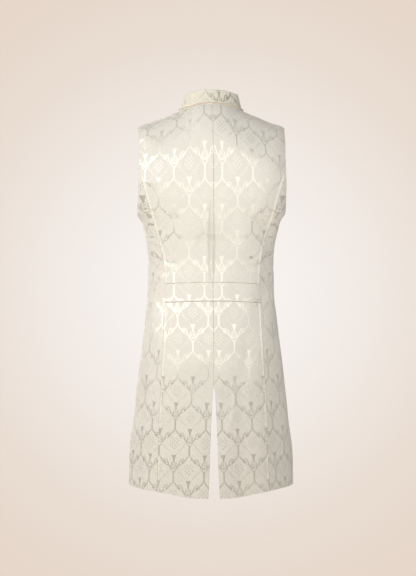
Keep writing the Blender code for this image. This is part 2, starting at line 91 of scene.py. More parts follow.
ARMHOLE_COLUMNS = ("rise", "across")
ARMHOLE = (
    (0.689, 0.1845),
    (0.740, 0.1812),
    (0.840, 0.1800),
    (0.930, 0.1812),
    (1.000, 0.1838),
)
SHOULDER_TIP_ACROSS = ARMHOLE[-1][1]
SIDE_BACK_CORNER = 0.785
SIDE_FRONT_DEPTH = -0.025
HALVINGS = 40
BELOW_UNDERARM = 0.660

SIDE_BACK_COLUMNS = ("height", "across")
SIDE_BACK_SEAM = (
    (0.000, 0.1350),
    (0.250, 0.1270),
    (0.320, 0.1230),
    (0.400, 0.1190),
    (0.467, 0.1170),
    (0.523, 0.1160),
    (0.574, 0.1200),
    (0.684, 0.1495),
    (0.720, 0.1590),
    (0.764, 0.1720),
    (SIDE_BACK_CORNER, 0.1785),
)

BAND_TOP = 0.5175
BAND_BOTTOM = 0.4720
BAND_DROOP = 0.0040
BAND_RAISE = 0.0010

VENT_TOP = 0.270
VENT_COLUMNS = ("height", "half_gap")
VENT = (
    (0.000, 0.0138),
    (0.036, 0.0120),
    (0.138, 0.0084),
    (0.246, 0.0030),
    (VENT_TOP, 0.0005),
    (VENT_TOP + 0.003, HALF_SEAM),
)

HEM_COLUMNS = ("turn", "height")
HEM = (
    (0.0, 0.0000),
    (21.0, 0.0020),
    (43.0, 0.0105),
    (60.0, 0.0145),
    (90.0, 0.0180),
    (135.0, 0.0200),
    (200.0, 0.0200),
)

LAP = 0.018
FRONT_EDGE_COLUMNS = ("height", "short_of_centre")
FRONT_EDGE = (
    (0.000, 0.0480),
    (0.150, 0.0360),
    (0.270, 0.0240),
    (0.360, 0.0120),
    (0.440, -0.0040),
    (0.500, -LAP),
)
UNDERLAP_SINKS_FROM = 0.050
UNDERLAP_SUNK_AT = 0.026
UNDERLAP = 0.0031

NECK_HALF_WIDTH = 0.0775
NECK_BACK = 0.060
NECK_FRONT = 0.100
PIPING_RADIUS = 0.0020
PIPING_PROUD = 0.0003
NECK_CLEAR_SIDE = 0.0029
NECK_CLEAR_BACK = 0.0022
NECK_CLEAR_FRONT = 0.0020
NECK_EDGE = NECK_HALF_WIDTH + NECK_CLEAR_SIDE
COLLAR_CLOTH = 0.0024
COLLAR_TOP_HALF_WIDTH = 0.0665
COLLAR_TOP_BACK = 0.053
COLLAR_TOP_FRONT = 0.087
COLLAR_COLUMNS = ("turn", "stand")
COLLAR = (
    (0.0, 0.0335),
    (90.0, 0.0400),
    (180.0, 0.0370),
)
COLLAR_CORNER = 0.012
COLLAR_END_GAP = 0.0015
COLLAR_END = math.pi - COLLAR_END_GAP / NECK_HALF_WIDTH
COLLAR_WELT = 0.0004
COLLAR_ROLL = 1.6
COLLAR_WAVES = ((0.0003, 95, 0), (0.0002, 170, 1))

BUTTON_COUNT = 7
TOP_BUTTON = 0.862
LOWEST_BUTTON = 0.505
BUTTON_RADIUS = 0.008
BUTTON_HEIGHT = 0.0048
BUTTON_CLEAR = 0.0004

# A fold is a ridge, or a trough where its depth is negative, that runs down the skirt. It starts at its top
# and grows to its full depth at the hem. Its turn and spread are in degrees, and the wearer's left is side 1.
FOLD_COLUMNS = ("side", "turn", "spread", "depth", "top")
FOLDS = (
    (1, 12.0, 8.0, 0.0020, 0.30),
    (1, 31.0, 8.0, -0.0024, 0.36),
    (1, 52.0, 9.0, 0.0026, 0.40),
    (1, 70.0, 8.0, -0.0030, 0.42),
    (1, 88.0, 9.0, 0.0022, 0.44),
    (1, 112.0, 12.0, -0.0030, 0.42),
    (1, 138.0, 11.0, 0.0030, 0.38),
    (-1, 10.0, 8.0, 0.0018, 0.28),
    (-1, 27.0, 8.0, -0.0032, 0.38),
    (-1, 45.0, 7.0, 0.0026, 0.40),
    (-1, 62.0, 8.0, -0.0034, 0.44),
    (-1, 84.0, 9.0, 0.0028, 0.46),
    (-1, 106.0, 11.0, -0.0030, 0.40),
    (-1, 134.0, 12.0, 0.0028, 0.38),
)

# The pinch beside the centre-back seam above the waist: a trough on each side, deeper on the wearer's left.
PINCH_LOW = 0.515
PINCH_HIGH = 0.715
PINCH_DEPTH = {1: 0.0072, -1: 0.0044}
PINCH_AWAY = 0.0060
PINCH_AWAY_AT_ENDS = 0.55
PINCH_BOW = 0.65
PINCH_SPREAD = 0.0033
PINCH_FULLNESS = 0.8

# Creases placed one by one: the middle's turn (degrees) and height, the lean from upright (degrees, positive
# leans away from the centre back at its top), the length, the spread across it, and the depth of the trough,
# which is less than nothing for a ridge.
CREASE_COLUMNS = ("side", "turn", "height", "lean", "length", "spread", "depth")
CREASES = (
    (-1, 62.0, 0.688, 38.0, 0.050, 0.0050, 0.0014),
    (-1, 70.0, 0.655, 52.0, 0.060, 0.0065, 0.0012),
    (-1, 53.0, 0.578, 62.0, 0.034, 0.0042, 0.0013),
    (-1, 60.0, 0.560, 74.0, 0.060, 0.0070, 0.0012),
    (-1, 58.0, 0.535, 84.0, 0.050, 0.0060, 0.0009),
    (-1, 75.0, 0.600, 66.0, 0.070, 0.0080, 0.0014),
    (-1, 42.0, 0.700, 30.0, 0.080, 0.0100, 0.0010),
    (-1, 30.0, 0.790, 12.0, 0.110, 0.0120, 0.0009),
    (-1, 70.0, 0.565, 4.0, 0.190, 0.0280, 0.0058),
    (-1, 20.0, 0.220, 6.0, 0.120, 0.0060, -0.0014),
    (-1, 29.0, 0.215, 2.0, 0.110, 0.0120, 0.0014),
    (-1, 33.0, 0.330, 9.0, 0.090, 0.0090, 0.0008),
    (-1, 100.0, 0.560, 70.0, 0.080, 0.0080, 0.0014),
    (-1, 112.0, 0.610, 50.0, 0.090, 0.0090, 0.0012),
    (-1, 128.0, 0.545, 78.0, 0.070, 0.0075, 0.0011),
    (-1, 122.0, 0.800, 24.0, 0.120, 0.0110, 0.0013),
    (-1, 140.0, 0.660, 40.0, 0.080, 0.0090, 0.0009),
    (-1, 150.0, 0.480, 62.0, 0.060, 0.0070, 0.0009),
    (1, 55.0, 0.566, 70.0, 0.040, 0.0050, 0.0010),
    (1, 64.0, 0.590, 60.0, 0.060, 0.0070, 0.0012),
    (1, 60.0, 0.543, 82.0, 0.050, 0.0065, 0.0009),
    (1, 74.0, 0.645, 44.0, 0.070, 0.0080, 0.0013),
    (1, 45.0, 0.690, 30.0, 0.080, 0.0100, 0.0009),
    (1, 27.0, 0.800, 10.0, 0.110, 0.0120, 0.0008),
    (1, 22.0, 0.250, 4.0, 0.110, 0.0070, -0.0008),
    (1, 98.0, 0.575, 66.0, 0.080, 0.0085, 0.0013),
    (1, 115.0, 0.625, 54.0, 0.080, 0.0090, 0.0012),
    (1, 130.0, 0.550, 80.0, 0.070, 0.0075, 0.0011),
    (1, 124.0, 0.810, 22.0, 0.120, 0.0110, 0.0012),
    (1, 145.0, 0.650, 36.0, 0.080, 0.0090, 0.0009),
    (1, 152.0, 0.470, 64.0, 0.060, 0.0070, 0.0009),
)

# A crease bends sideways by this share of its length towards its ends. Slack waves have a height, and a shift
# of their own on each side. A seam's puckers have a height and a reach, and start beyond the stitches.
CREASE_BEND = 0.35
SLACK_HEIGHT = 0.00075
SLACK_SHIFT = {1: 0.7, -1: 2.9}
PUCKER_HEIGHT = 0.00009
PUCKER_REACH = 0.008
STITCH_REACH = 0.0012

# A seam's allowances are pressed to one side. The ridge over them is at its full height once it has risen,
# falls to nothing at its end, and fades out just under the armhole. The waist band has a low welt along both
# its long edges.
RIDGE_HEIGHT = 0.0013
RIDGE_RISEN = 0.0012
RIDGE_END = 0.0052
RIDGE_FALL = 0.0022
RIDGE_FADE = 0.010
BAND_WELT = 0.0004
BAND_WELT_RISEN = 0.002
BAND_WELT_END = 0.0055

# How far apart the rows and columns of a piece are, the places of the extra ones that round off its edge, and
# the widths that set the number of columns.
STEP = 0.0028
FRONT_STEP = 0.0032
BAND_STEP = 0.0018
COLLAR_STEP = 0.0025
COLLAR_ROW_STEP = 0.0015
COLLAR_HEIGHT = 0.036
EDGE_PLACES = (0.0, 0.0001, 0.0003, 0.00065, 0.0011, 0.0018)
WIDTHS = {
    "back": 0.150,
    "waistband": 0.117,
    "skirt_back": 0.125,
    "side": 0.115,
    "front": 0.250,
    "collar": 0.52,
}
EDGE_ROLL = 0.0008
TURNING_DEPTH = 0.024
TURNING_EDGE = 0.0012
TURNING_CLOTH = 0.0008
FAR_FROM_SEAMS = 0.05

# Where each part is cut out of the damask: what its length across the grain and its rise are moved by.
CUTS = {
    "back": (-0.00225, 0.0),
    "waistband": (-0.00225, 0.031),
    "skirt_back": (0.00625, -0.0232),
    "side": (0.225, -0.0232),
    "front": (0.0375, -0.0232),
    "collar": (0.0, 0.9846),
}


def read(rows, names, column, places):
    """Values of a table's column at places along its first one, on a smooth curve that never overshoots."""
    known = np.array([row[0] for row in rows])
    values = np.array([row[names.index(column)] for row in rows])
    secants = np.diff(values) / np.diff(known)
    before, after = secants[:-1], secants[1:]
    level = before * after <= 0
    middle = np.where(level, 0, 2 * before * after / np.where(level, 1, before + after))
    slopes = np.concatenate([secants[:1], middle, secants[-1:]])
    places = np.clip(places, known[0], known[-1])
    index = np.clip(np.searchsorted(known, places) - 1, 0, len(known) - 2)
    step = known[index + 1] - known[index]
    t = (places - known[index]) / step
    return (
        (2 * t**3 - 3 * t**2 + 1) * values[index]
        + (t**3 - 2 * t**2 + t) * step * slopes[index]
        + (3 * t**2 - 2 * t**3) * values[index + 1]
        + (t**3 - t**2) * step * slopes[index + 1]
    )


def ease(share):
    """0 up to 1 with a level start and end."""
    share = np.clip(share, 0, 1)
    return share * share * (3 - 2 * share)


def quarter_round(share):
    """0 up to 1 on a quarter of a circle, steep at first and level at the end."""
    return np.sqrt(1 - (1 - np.clip(share, 0, 1)) ** 2)


def ring(rise, in_front):
    """Half width, depth and squareness of the figure's ring at a rise, on its front or its back."""
    level = np.minimum(rise, CHEST_RISE)
    back = read(FIGURE, FIGURE_COLUMNS, "back", level)
    front = read(FIGURE, FIGURE_COLUMNS, "front", level)
    half_width = read(FIGURE, FIGURE_COLUMNS, "half_width", level)
    squareness = read(FIGURE, FIGURE_COLUMNS, "squareness", level)
    return half_width, np.where(in_front, front, back), squareness


def figure(turn, rise):
    """Points of the figure. A turn goes from the centre back (0) by the side (pi / 2) to the centre front.

    Up to the chest a ring is a superellipse. Above the chest a point keeps its distance from the centre
    plane and climbs a quarter of an ellipse, from the chest ring up to the ridge of the shoulder.
    """
    half_width, depth, power = ring(rise, np.cos(turn) < 0)
    across_part = np.abs(np.sin(turn) / half_width) ** power
    deep_part = np.abs(np.cos(turn) / depth) ** power
    reach = (across_part + deep_part) ** (-1 / power)
    across = reach * np.sin(turn)
    arch = np.clip((rise - CHEST_RISE) / ARCH_RISE * math.pi / 2, 0, None)
    ridge = read(SHOULDER, SHOULDER_COLUMNS, "height", np.abs(across))
    height = np.minimum(rise, CHEST_RISE) + (ridge - CHEST_RISE) * np.sin(arch)
    return np.stack([across, reach * np.cos(turn) * np.cos(arch), height], axis=-1)


def outward(turn, rise):
    """The figure's unit normals, from its slopes along the turn and along the rise."""
    small_turn = 1e-3
    small_rise = 1e-4
    along = figure(turn + small_turn, rise) - figure(turn - small_turn, rise)
    upward = figure(turn, rise + small_rise) - figure(turn, rise - small_rise)
    normal = np.cross(upward, along)
    return normal / np.linalg.norm(normal, axis=-1, keepdims=True)


def rise_of(height):
    """The rise of a point on the centre front or the centre back that lies at this height."""
    ridge = read(SHOULDER, SHOULDER_COLUMNS, "height", 0)
    arch = math.asin(min(max(height - CHEST_RISE, 0) / (ridge - CHEST_RISE), 1))
    return min(height, CHEST_RISE) + arch / (math.pi / 2) * ARCH_RISE


def turn_at(across, rise, in_front):
    """The turn at which the figure lies this far from the centre plane."""
    half_width, depth, power = ring(rise, in_front)
    share = np.clip(np.abs(across) / half_width, 0, 1)
    deep = depth * (1 - share**power) ** (1 / power)
    turn = np.arctan2(across, deep)
    return np.where(in_front, math.pi - turn, turn)


# Lengths round the figure at a net of rises and turns, for the straight grain of each panel.
NET_RISES = np.linspace(0, RIDGE_RISE, 201)
NET_TURNS = np.radians(np.linspace(0, 200, 401))


def girth_net():
    """At each rise of the net, the sum of the chords between its turns, which grows from the centre back."""
    points = figure(NET_TURNS[None, :], NET_RISES[:, None])
    chords = np.linalg.norm(np.diff(points, axis=1), axis=-1)
    return np.concatenate([np.zeros((len(NET_RISES), 1)), np.cumsum(chords, axis=1)], axis=1)


GIRTHS = girth_net()


def girth(turn, rise):
    """The length round the figure from the centre back, read from the net on straight lines both ways."""
    row = np.clip(rise / NET_RISES[1], 0, len(NET_RISES) - 1.001)
    column = np.clip(turn / NET_TURNS[1], 0, len(NET_TURNS) - 1.001)
    low, first = row.astype(int), column.astype(int)
    up, on = row - low, column - first
    below = GIRTHS[low, first] * (1 - on) + GIRTHS[low, first + 1] * on
    above = GIRTHS[low + 1, first] * (1 - on) + GIRTHS[low + 1, first + 1] * on
    return below * (1 - up) + above * up


def side_back_across(rise):
    return read(SIDE_BACK_SEAM, SIDE_BACK_COLUMNS, "across", rise)


def side_front_turn(rise):
    """The turn of the seam between side panel and front, which hangs straight at one depth."""
    half_width, depth, power = ring(rise, True)
    across = half_width * (1 - (-SIDE_FRONT_DEPTH / depth) ** power) ** (1 / power)
    return np.arctan2(across, SIDE_FRONT_DEPTH)


def armhole_across(rise):
    return read(ARMHOLE, ARMHOLE_COLUMNS, "across", rise)


def armhole_rise(turn_of_rise, low, high):
    """The rise at which a line on the figure, given as its turn at each rise, meets the armhole's edge."""
    for _ in range(HALVINGS):
        middle = (low + high) / 2
        outside = figure(turn_of_rise(middle), middle)[..., 0] > armhole_across(middle)
        low, high = np.where(outside, low, middle), np.where(outside, middle, high)
    return low


def chest_deep(across, in_front):
    """The depth of the chest ring at a distance from the centre plane."""
    _, depth, power = ring(CHEST_RISE, in_front)
    return depth * (1 - (np.abs(across) / CHEST_HALF_WIDTH) ** power) ** (1 / power)


def neck_rise(across, in_front):
    """The rise of the panels' necklines at a distance from the centre plane, and of the ridge beyond."""
    depth = NECK_FRONT + NECK_CLEAR_FRONT if in_front else NECK_BACK + NECK_CLEAR_BACK
    share = np.clip(np.abs(across) / NECK_EDGE, 0, 1)
    arch = np.arccos(depth * np.sqrt(1 - share**2) / chest_deep(across, in_front))
    rise = CHEST_RISE + arch / (math.pi / 2) * ARCH_RISE
    return np.minimum(rise, RIDGE_RISE - SHOULDER_TRIM)


def band_edge(height, across):
    """The height of a long edge of the waist band, which droops a little towards the side-back seam."""
    return height - BAND_DROOP * (across / side_back_across(height)) ** 2


def hem_rise(turn):
    return read(HEM, HEM_COLUMNS, "height", np.degrees(turn))


def for_side(rows, names, side):
    """The rows of a table that are for one side, each as a dictionary of its columns."""
    named = [dict(zip(names, row)) for row in rows]
    return [row for row in named if row["side"] == side]


def skirt_folds(side, turn, rise):
    """How far the skirt's folds stand out of the figure, or lie in it."""
    total = np.zeros_like(turn)
    for fold in for_side(FOLDS, FOLD_COLUMNS, side):
        growth = ease((fold["top"] - rise) / fold["top"])
        off_centre = (np.degrees(turn) - fold["turn"]) / fold["spread"]
        total += fold["depth"] * growth * np.exp(-(off_centre**2))
    return total


def creases(side, turn, rise):
    """The sum of the placed creases: a bell across each one, and a flatter bell along it."""
    total = np.zeros_like(turn)
    around = girth(turn, rise)
    for crease in for_side(CREASES, CREASE_COLUMNS, side):
        centre = girth(np.array(math.radians(crease["turn"])), np.array(crease["height"]))
        lean = math.radians(crease["lean"])
        sideways = around - centre
        upward = rise - crease["height"]
        along = sideways * math.sin(lean) + upward * math.cos(lean)
        off = sideways * math.cos(lean) - upward * math.sin(lean)
        bend = along**2 / crease["length"] * CREASE_BEND
        bell = np.exp(-(((off + bend) / crease["spread"]) ** 2) - (2 * along / crease["length"]) ** 4)
        total -= crease["depth"] * bell
    return total


def slack(side, turn, rise):
    """Long shallow waves of cloth that isn't pulled taut: a sum of sines of unlike lengths, under 2 mm.

    The numbers beside around and rise are radians for each metre round the figure and up it.
    """
    around = girth(turn, rise)
    shift = SLACK_SHIFT[side]
    waves = np.sin(around * 47 + rise * 13 + shift) * np.sin(rise * 23 - around * 9 + 2 * shift)
    waves += 0.7 * np.sin(around * 81 - rise * 31 + 3 * shift)
    waves += 0.5 * np.sin(rise * 58 + around * 22 + shift)
    return SLACK_HEIGHT * waves


def pucker(away, along, shift):
    """Small uneven gathers that a seam's stitches draw up, gone a centimetre from the seam.

    The numbers beside along are radians for each metre of the seam.
    """
    waves = np.sin(along * 420 + shift) + 0.8 * np.sin(along * 690 + 2.1 * shift)
    waves += 0.6 * np.sin(along * 251 + shift)
    fading = np.exp(-((away / PUCKER_REACH) ** 2))
    free_of_stitches = 1 - np.exp(-((away / STITCH_REACH) ** 2))
    return PUCKER_HEIGHT * waves * fading * free_of_stitches


def spread(length, step=STEP):
    """Places from 0 to 1 along a length, evenly a step apart but closer together near both ends."""
    edge = np.array(EDGE_PLACES)
    count = max(int(round((length - 2 * edge[-1]) / step)), 1)
    middle = np.linspace(edge[-1], length - edge[-1], count + 1)
    return np.concatenate([edge[:-1], middle, length - edge[:-1][::-1]]) / length


def keep(places, kept):
    """Moves the nearest of the places onto one that has to be among them."""
    places[np.argmin(np.abs(places - kept))] = kept


def between(climb, corner, low_share, top_share):
    """Rows that climb a panel, one of them through its corner, and their columns' shares of the width.

    Up to the corner the columns keep the shares of the bottom edge, and above it they move to the top's.
    """
    keep(climb, corner)
    climb = climb[:, None]
    return climb, low_share + (top_share - low_share) * ease((climb - corner) / (1 - corner))


def place_in_cloth(part, across, upward):
    """Each point's place in the flat damask that its part is cut from."""
    return np.stack(np.broadcast_arrays(across + CUTS[part][0], upward + CUTS[part][1]), axis=-1)


def to_world(points, side):
    """Points measured on the wearer's left, up from the hem, as world points on the given side."""
    world = points * np.array([side, 1, 1])
    world[..., 2] -= NECK_POINT_HEIGHT
    return world


def from_edges(points):
    """The length along the rows from the first and the last column, and along the columns from both ends."""
    across = np.linalg.norm(np.diff(points, axis=1), axis=-1)
    upward = np.linalg.norm(np.diff(points, axis=0), axis=-1)
    first = np.concatenate([np.zeros((len(points), 1)), np.cumsum(across, axis=1)], axis=1)
    low = np.concatenate([np.zeros((1, points.shape[1])), np.cumsum(upward, axis=0)], axis=0)
    return {"first": first, "last": first[:, -1:] - first, "low": low, "high": low[-1:] - low}


def place_object(name, data):
    """A new object in the scene, at the origin."""
    made = bpy.data.objects.new(name, data)
    bpy.context.scene.collection.objects.link(made)
    return made


def add_mesh(name, points, side, faces, materials, grain=None):
    """A smooth piece from points on the wearer's left, with their places in the cloth as its UV map."""
    mesh = bpy.data.meshes.new(name)
    mesh.from_pydata(to_world(points, side), [], faces)
    if grain is not None:
        index = np.empty(len(mesh.loops), np.int32)
        mesh.loops.foreach_get("vertex_index", index)
        mesh.uv_layers.new(name="grain").data.foreach_set("uv", grain[index].astype(np.float32).ravel())
    for material in materials:
        mesh.materials.append(material)
    mesh.shade_smooth()
    return place_object(name, mesh)


def add_shell(name, outer, inner, grain, seam, lap, side, materials):
    """A closed mesh of two grids that share their border, the outer face and the inner one.

    The grain is each point's place in the flat cloth, the seam its distance from the nearest sewn edge, which
    sets the painted shade along the seams, and the lap is 1 on the pressed ridge of a seam and 0 elsewhere,
    which sets a painted highlight on it.
    """
    rows, columns = outer.shape[:2]
    front = np.arange(rows * columns).reshape(rows, columns)
    back = front.copy()
    inside = (rows - 2) * (columns - 2)
    back[1:-1, 1:-1] = rows * columns + np.arange(inside).reshape(rows - 2, columns - 2)

    def quads(index):
        corners = (index[:-1, :-1], index[1:, :-1], index[1:, 1:], index[:-1, 1:])
        return np.stack(corners, axis=-1).reshape(-1, 4)

    def on_both(over, under, *shape):
        return np.concatenate([over.reshape(-1, *shape), under[1:-1, 1:-1].reshape(-1, *shape)])

    outside = quads(front)[:, ::side]
    reverse = quads(back)[:, ::-side]
    faces = np.concatenate([outside, reverse])
    made = add_mesh(name, on_both(outer, inner, 3), side, faces, materials, on_both(grain, grain, 2))
    for measure, values in (("seam", seam), ("lap", lap)):
        attribute = made.data.attributes.new(measure, "FLOAT", "POINT")
        attribute.data.foreach_set("value", on_both(values, values).astype(np.float32))
    slots = np.repeat(np.array([0, len(materials) - 1], np.int32), (len(outside), len(reverse)))
    made.data.polygons.foreach_set("material_index", slots)
    return made


def add_panel(name, side, turn, rise, lift, grain, free, materials, lap=0):
    """A panel of cloth on the figure. Its free edges are turned in and stitched down, and the rest are seams.

    The outer face is the figure plus its normal times the lift, and the inner face lies a cloth's thickness
    inside it. Both sink to the middle of the cloth over the edge's roll, on a quarter of a circle.
    """
    normal = outward(turn, rise)
    lift = lift + creases(side, turn, rise) + slack(side, turn, rise)
    points = figure(turn, rise) + normal * lift[..., None]
    away = from_edges(points)
    nearest = np.minimum.reduce(list(away.values()))
    for number, (edge, distance) in enumerate(away.items()):
        along = rise if edge in ("first", "last") else away["first"]
        points = points + normal * pucker(distance, along, number + 3 * side)[..., None]
    roll = quarter_round(nearest / EDGE_ROLL)
    turning = np.zeros_like(nearest)
    for edge in free:
        turning = np.maximum(turning, ease((TURNING_DEPTH - away[edge]) / TURNING_EDGE))
    sink = CLOTH / 2 * (1 - roll)
    depth = CLOTH / 2 * (1 + roll) + TURNING_CLOTH * turning * roll
    outer = points - normal * sink[..., None]
    inner = points - normal * depth[..., None]
    sewn = [away[edge] for edge in away if edge not in free]
    seam = np.minimum.reduce(sewn + [np.full_like(nearest, FAR_FROM_SEAMS)])
    return add_shell(name, outer, inner, grain, seam, lap + np.zeros_like(seam), side, materials)


def raised_seam(away):
    """The share of its full height that a pressed seam's ridge has at a distance from the seam."""
    return ease(away / RIDGE_RISEN) * ease((RIDGE_END - away) / RIDGE_FALL)


def to_side_back_seam(turn, rise):
    """The length along the cloth from a point out to the side-back seam."""
    return girth(turn_at(side_back_across(rise), rise, False), rise) - girth(turn, rise)


def pinch(side, across, rise):
    """The trough beside the centre-back seam, deepest in the middle of its length."""
    along = np.clip((rise - PINCH_LOW) / (PINCH_HIGH - PINCH_LOW), 0, 1)
    swell = np.sin(math.pi * along)
    away = PINCH_AWAY * (PINCH_AWAY_AT_ENDS + PINCH_BOW * swell)
    trough = np.exp(-(((across - away) / PINCH_SPREAD) ** 2))
    return -PINCH_DEPTH[side] * swell**PINCH_FULLNESS * trough


def add_back(name, side, materials):
    """An upper back: waist band to shoulder, centre-back seam to side-back seam and armhole."""

    def outer_edge(rise):
        on_seam = side_back_across(rise) - HALF_SEAM
        return np.where(rise < SIDE_BACK_CORNER, on_seam, armhole_across(rise))

    neck_corner = 0.55
    low_share = spread(WIDTHS["back"])
    keep(low_share, neck_corner)
    neck_across = NECK_EDGE * np.sin(np.clip(low_share / neck_corner, 0, 1) * math.pi / 2)
    beyond = np.clip((low_share - neck_corner) / (1 - neck_corner), 0, 1)
    top_across = neck_across + (SHOULDER_TIP_ACROSS - neck_across) * beyond
    top_across[-1] = SHOULDER_TIP_ACROSS
    top_share = top_across / SHOULDER_TIP_ACROSS
    low_edge = BAND_TOP - BAND_DROOP
    corner = (SIDE_BACK_CORNER - low_edge) / (RIDGE_RISE - low_edge)
    climb = spread(RIDGE_RISE - low_edge)
    climb, share = between(climb, corner, low_share, top_share)
    bottom = band_edge(BAND_TOP, low_share * side_back_across(BAND_TOP)) + HALF_SEAM
    top = neck_rise(top_across, in_front=False)
    rise = bottom + (top - bottom) * climb
    across = HALF_SEAM + (outer_edge(rise) - HALF_SEAM) * share
    turn = turn_at(across, rise, in_front=False)
    lap = raised_seam(to_side_back_seam(turn, rise)) * ease((SIDE_BACK_CORNER - rise) / RIDGE_FADE)
    lift = pinch(side, across, rise) + RIDGE_HEIGHT * lap
    grain = place_in_cloth("back", girth(turn, rise), rise)
    return add_panel(name, side, turn, rise, lift, grain, (), materials, lap)


def add_waistband(name, side, materials):
    """Half of the band across the back waist, which lies a little proud of the cloth above and below it."""
    share = spread(WIDTHS["waistband"])
    climb = spread(BAND_TOP - BAND_BOTTOM, BAND_STEP)[:, None]
    ends = side_back_across(BAND_BOTTOM) * share
    bottom = band_edge(BAND_BOTTOM, ends) + HALF_SEAM
    top = band_edge(BAND_TOP, ends) - HALF_SEAM
    rise = bottom + (top - bottom) * climb
    across = HALF_SEAM + (side_back_across(rise) - SEAM_GAP) * share
    turn = turn_at(across, rise, in_front=False)
    from_edge = np.minimum(rise - bottom, top - rise)
    risen = ease(from_edge / BAND_WELT_RISEN)
    lift = BAND_RAISE + BAND_WELT * risen * ease((BAND_WELT_END - from_edge) / BAND_WELT_RISEN)
    grain = place_in_cloth("waistband", girth(turn, rise), rise)
    return add_panel(name, side, turn, rise, lift, grain, (), materials)


def add_skirt_back(name, side, materials):
    """A back skirt: waist band to hem, with the open vent's edge below the centre-back seam."""
    share = spread(WIDTHS["skirt_back"])
    climb = spread(BAND_BOTTOM)[:, None]
    top = band_edge(BAND_BOTTOM, share * side_back_across(BAND_BOTTOM)) - HALF_SEAM
    bottom = hem_rise(turn_at(share * side_back_across(0), 0, in_front=False))
    rise = bottom + (top - bottom) * climb
    vent_edge = read(VENT, VENT_COLUMNS, "half_gap", rise)
    across = vent_edge + (side_back_across(rise) - HALF_SEAM - vent_edge) * share
    turn = turn_at(across, rise, in_front=False)
    lap = raised_seam(to_side_back_seam(turn, rise))
    lift = skirt_folds(side, turn, rise) + RIDGE_HEIGHT * lap
    from_vent = girth(turn, rise) - girth(turn_at(vent_edge, rise, False), rise)
    grain = place_in_cloth("skirt_back", from_vent, rise)
    return add_panel(name, side, turn, rise, lift, grain, ("low",), materials, lap)


def add_side(name, side, materials):
    """A side panel in one piece, from under the armhole to the hem."""
    share = spread(WIDTHS["side"])

    def panel_turn(rise):
        trim = HALF_SEAM / ring(rise, False)[0]
        start = turn_at(side_back_across(rise), rise, in_front=False) + trim
        end = side_front_turn(rise) - trim
        return start + (end - start) * share

    low = np.full_like(share, BELOW_UNDERARM)
    high = np.full_like(share, SIDE_BACK_CORNER)
    top = armhole_rise(panel_turn, low, high)
    bottom = hem_rise(panel_turn(np.zeros_like(share)))
    climb = spread(SIDE_BACK_CORNER)[:, None]
    rise = bottom + (top - bottom) * climb
    turn = panel_turn(rise)
    middle = (turn[:, :1] + turn[:, -1:]) / 2
    from_middle = girth(turn, rise) - girth(middle, rise[:, :1])
    grain = place_in_cloth("side", from_middle, rise)
    return add_panel(name, side, turn, rise, skirt_folds(side, turn, rise), grain, ("low", "high"), materials)


def add_front(name, side, materials):
    """A front in one piece from shoulder to hem. The wearer's right front sinks under the left at the lap."""
    lowest, highest = np.array(BELOW_UNDERARM), np.array(SIDE_BACK_CORNER)
    armhole_bottom = float(armhole_rise(side_front_turn, lowest, highest))

    def outer_edge(rise):
        seam = figure(side_front_turn(rise), rise)[..., 0]
        return np.where(rise < armhole_bottom, seam, armhole_across(rise))

    def seam_turn(rise):
        trim = HALF_SEAM / ring(rise, False)[0]
        on_seam = side_front_turn(rise) + trim
        on_armhole = turn_at(armhole_across(rise), rise, in_front=True)
        return np.where(rise < armhole_bottom + SEAM_GAP, on_seam, on_armhole)

    def centre_edge(rise):
        return read(FRONT_EDGE, FRONT_EDGE_COLUMNS, "short_of_centre", rise)

    # Low down, columns are close together where the figure turns the side. Along the top edge they run over
    # the shoulder, then at even angles round the neckline, then straight across the lap.
    shoulder_end, neck_end, lap_end = 5, 11, 12
    place = spread(WIDTHS["front"], FRONT_STEP) * lap_end
    for kept in (shoulder_end, neck_end):
        keep(place, kept)
    on_shoulder = SHOULDER_TIP_ACROSS + (NECK_EDGE - SHOULDER_TIP_ACROSS) * place / shoulder_end
    angle = (neck_end - place) / (neck_end - shoulder_end) * math.pi / 2
    on_neck = NECK_EDGE * np.sin(np.clip(angle, 0, math.pi / 2))
    on_lap = -LAP * (place - neck_end) / (lap_end - neck_end)
    top_across = np.where(place < shoulder_end, on_shoulder, np.where(place < neck_end, on_neck, on_lap))
    top_share = (SHOULDER_TIP_ACROSS - top_across) / (SHOULDER_TIP_ACROSS + LAP)
    low_share = 1 - np.cos(place / lap_end * math.pi / 2)
    top = neck_rise(top_across, in_front=True)
    bottom_across = outer_edge(0) + (centre_edge(0) - outer_edge(0)) * low_share
    bottom = hem_rise(turn_at(bottom_across, 0, in_front=True))
    corner = (armhole_bottom - bottom[0]) / (top[0] - bottom[0])
    climb = spread(RIDGE_RISE, FRONT_STEP)
    climb, share = between(climb, corner, low_share, top_share)
    rise = bottom + (top - bottom) * climb
    across = outer_edge(rise) + (centre_edge(rise) - outer_edge(rise)) * share
    turn = turn_at(across, rise, in_front=True)
    turn[:, 0] = seam_turn(rise[:, 0])
    lift = skirt_folds(side, turn, rise)
    if side < 0:
        sunk = ease((UNDERLAP_SINKS_FROM - across) / (UNDERLAP_SINKS_FROM - UNDERLAP_SUNK_AT))
        lift = lift - UNDERLAP * sunk
    grain = place_in_cloth("front", girth(np.array(math.pi), rise) - girth(turn, rise), rise)
    return add_panel(name, side, turn, rise, lift, grain, ("low", "last"), materials)


def neck_line(around):
    """Points of the neck seam. Around goes from 0 at the centre back to pi at the centre front."""
    in_front = np.cos(around) < 0
    across = NECK_HALF_WIDTH * np.sin(around)
    deep = np.where(in_front, NECK_FRONT, NECK_BACK) * np.cos(around)
    arch = np.arccos(np.clip(np.abs(deep) / chest_deep(across, in_front), 0, 1))
    ridge = read(SHOULDER, SHOULDER_COLUMNS, "height", np.abs(across))
    height = CHEST_RISE + (ridge - CHEST_RISE) * np.sin(arch)
    turn = turn_at(across, CHEST_RISE + 0 * across, in_front)
    normal = outward(turn, CHEST_RISE + arch / (math.pi / 2) * ARCH_RISE)
    return np.stack([across, deep, height], axis=-1) + normal * PIPING_PROUD


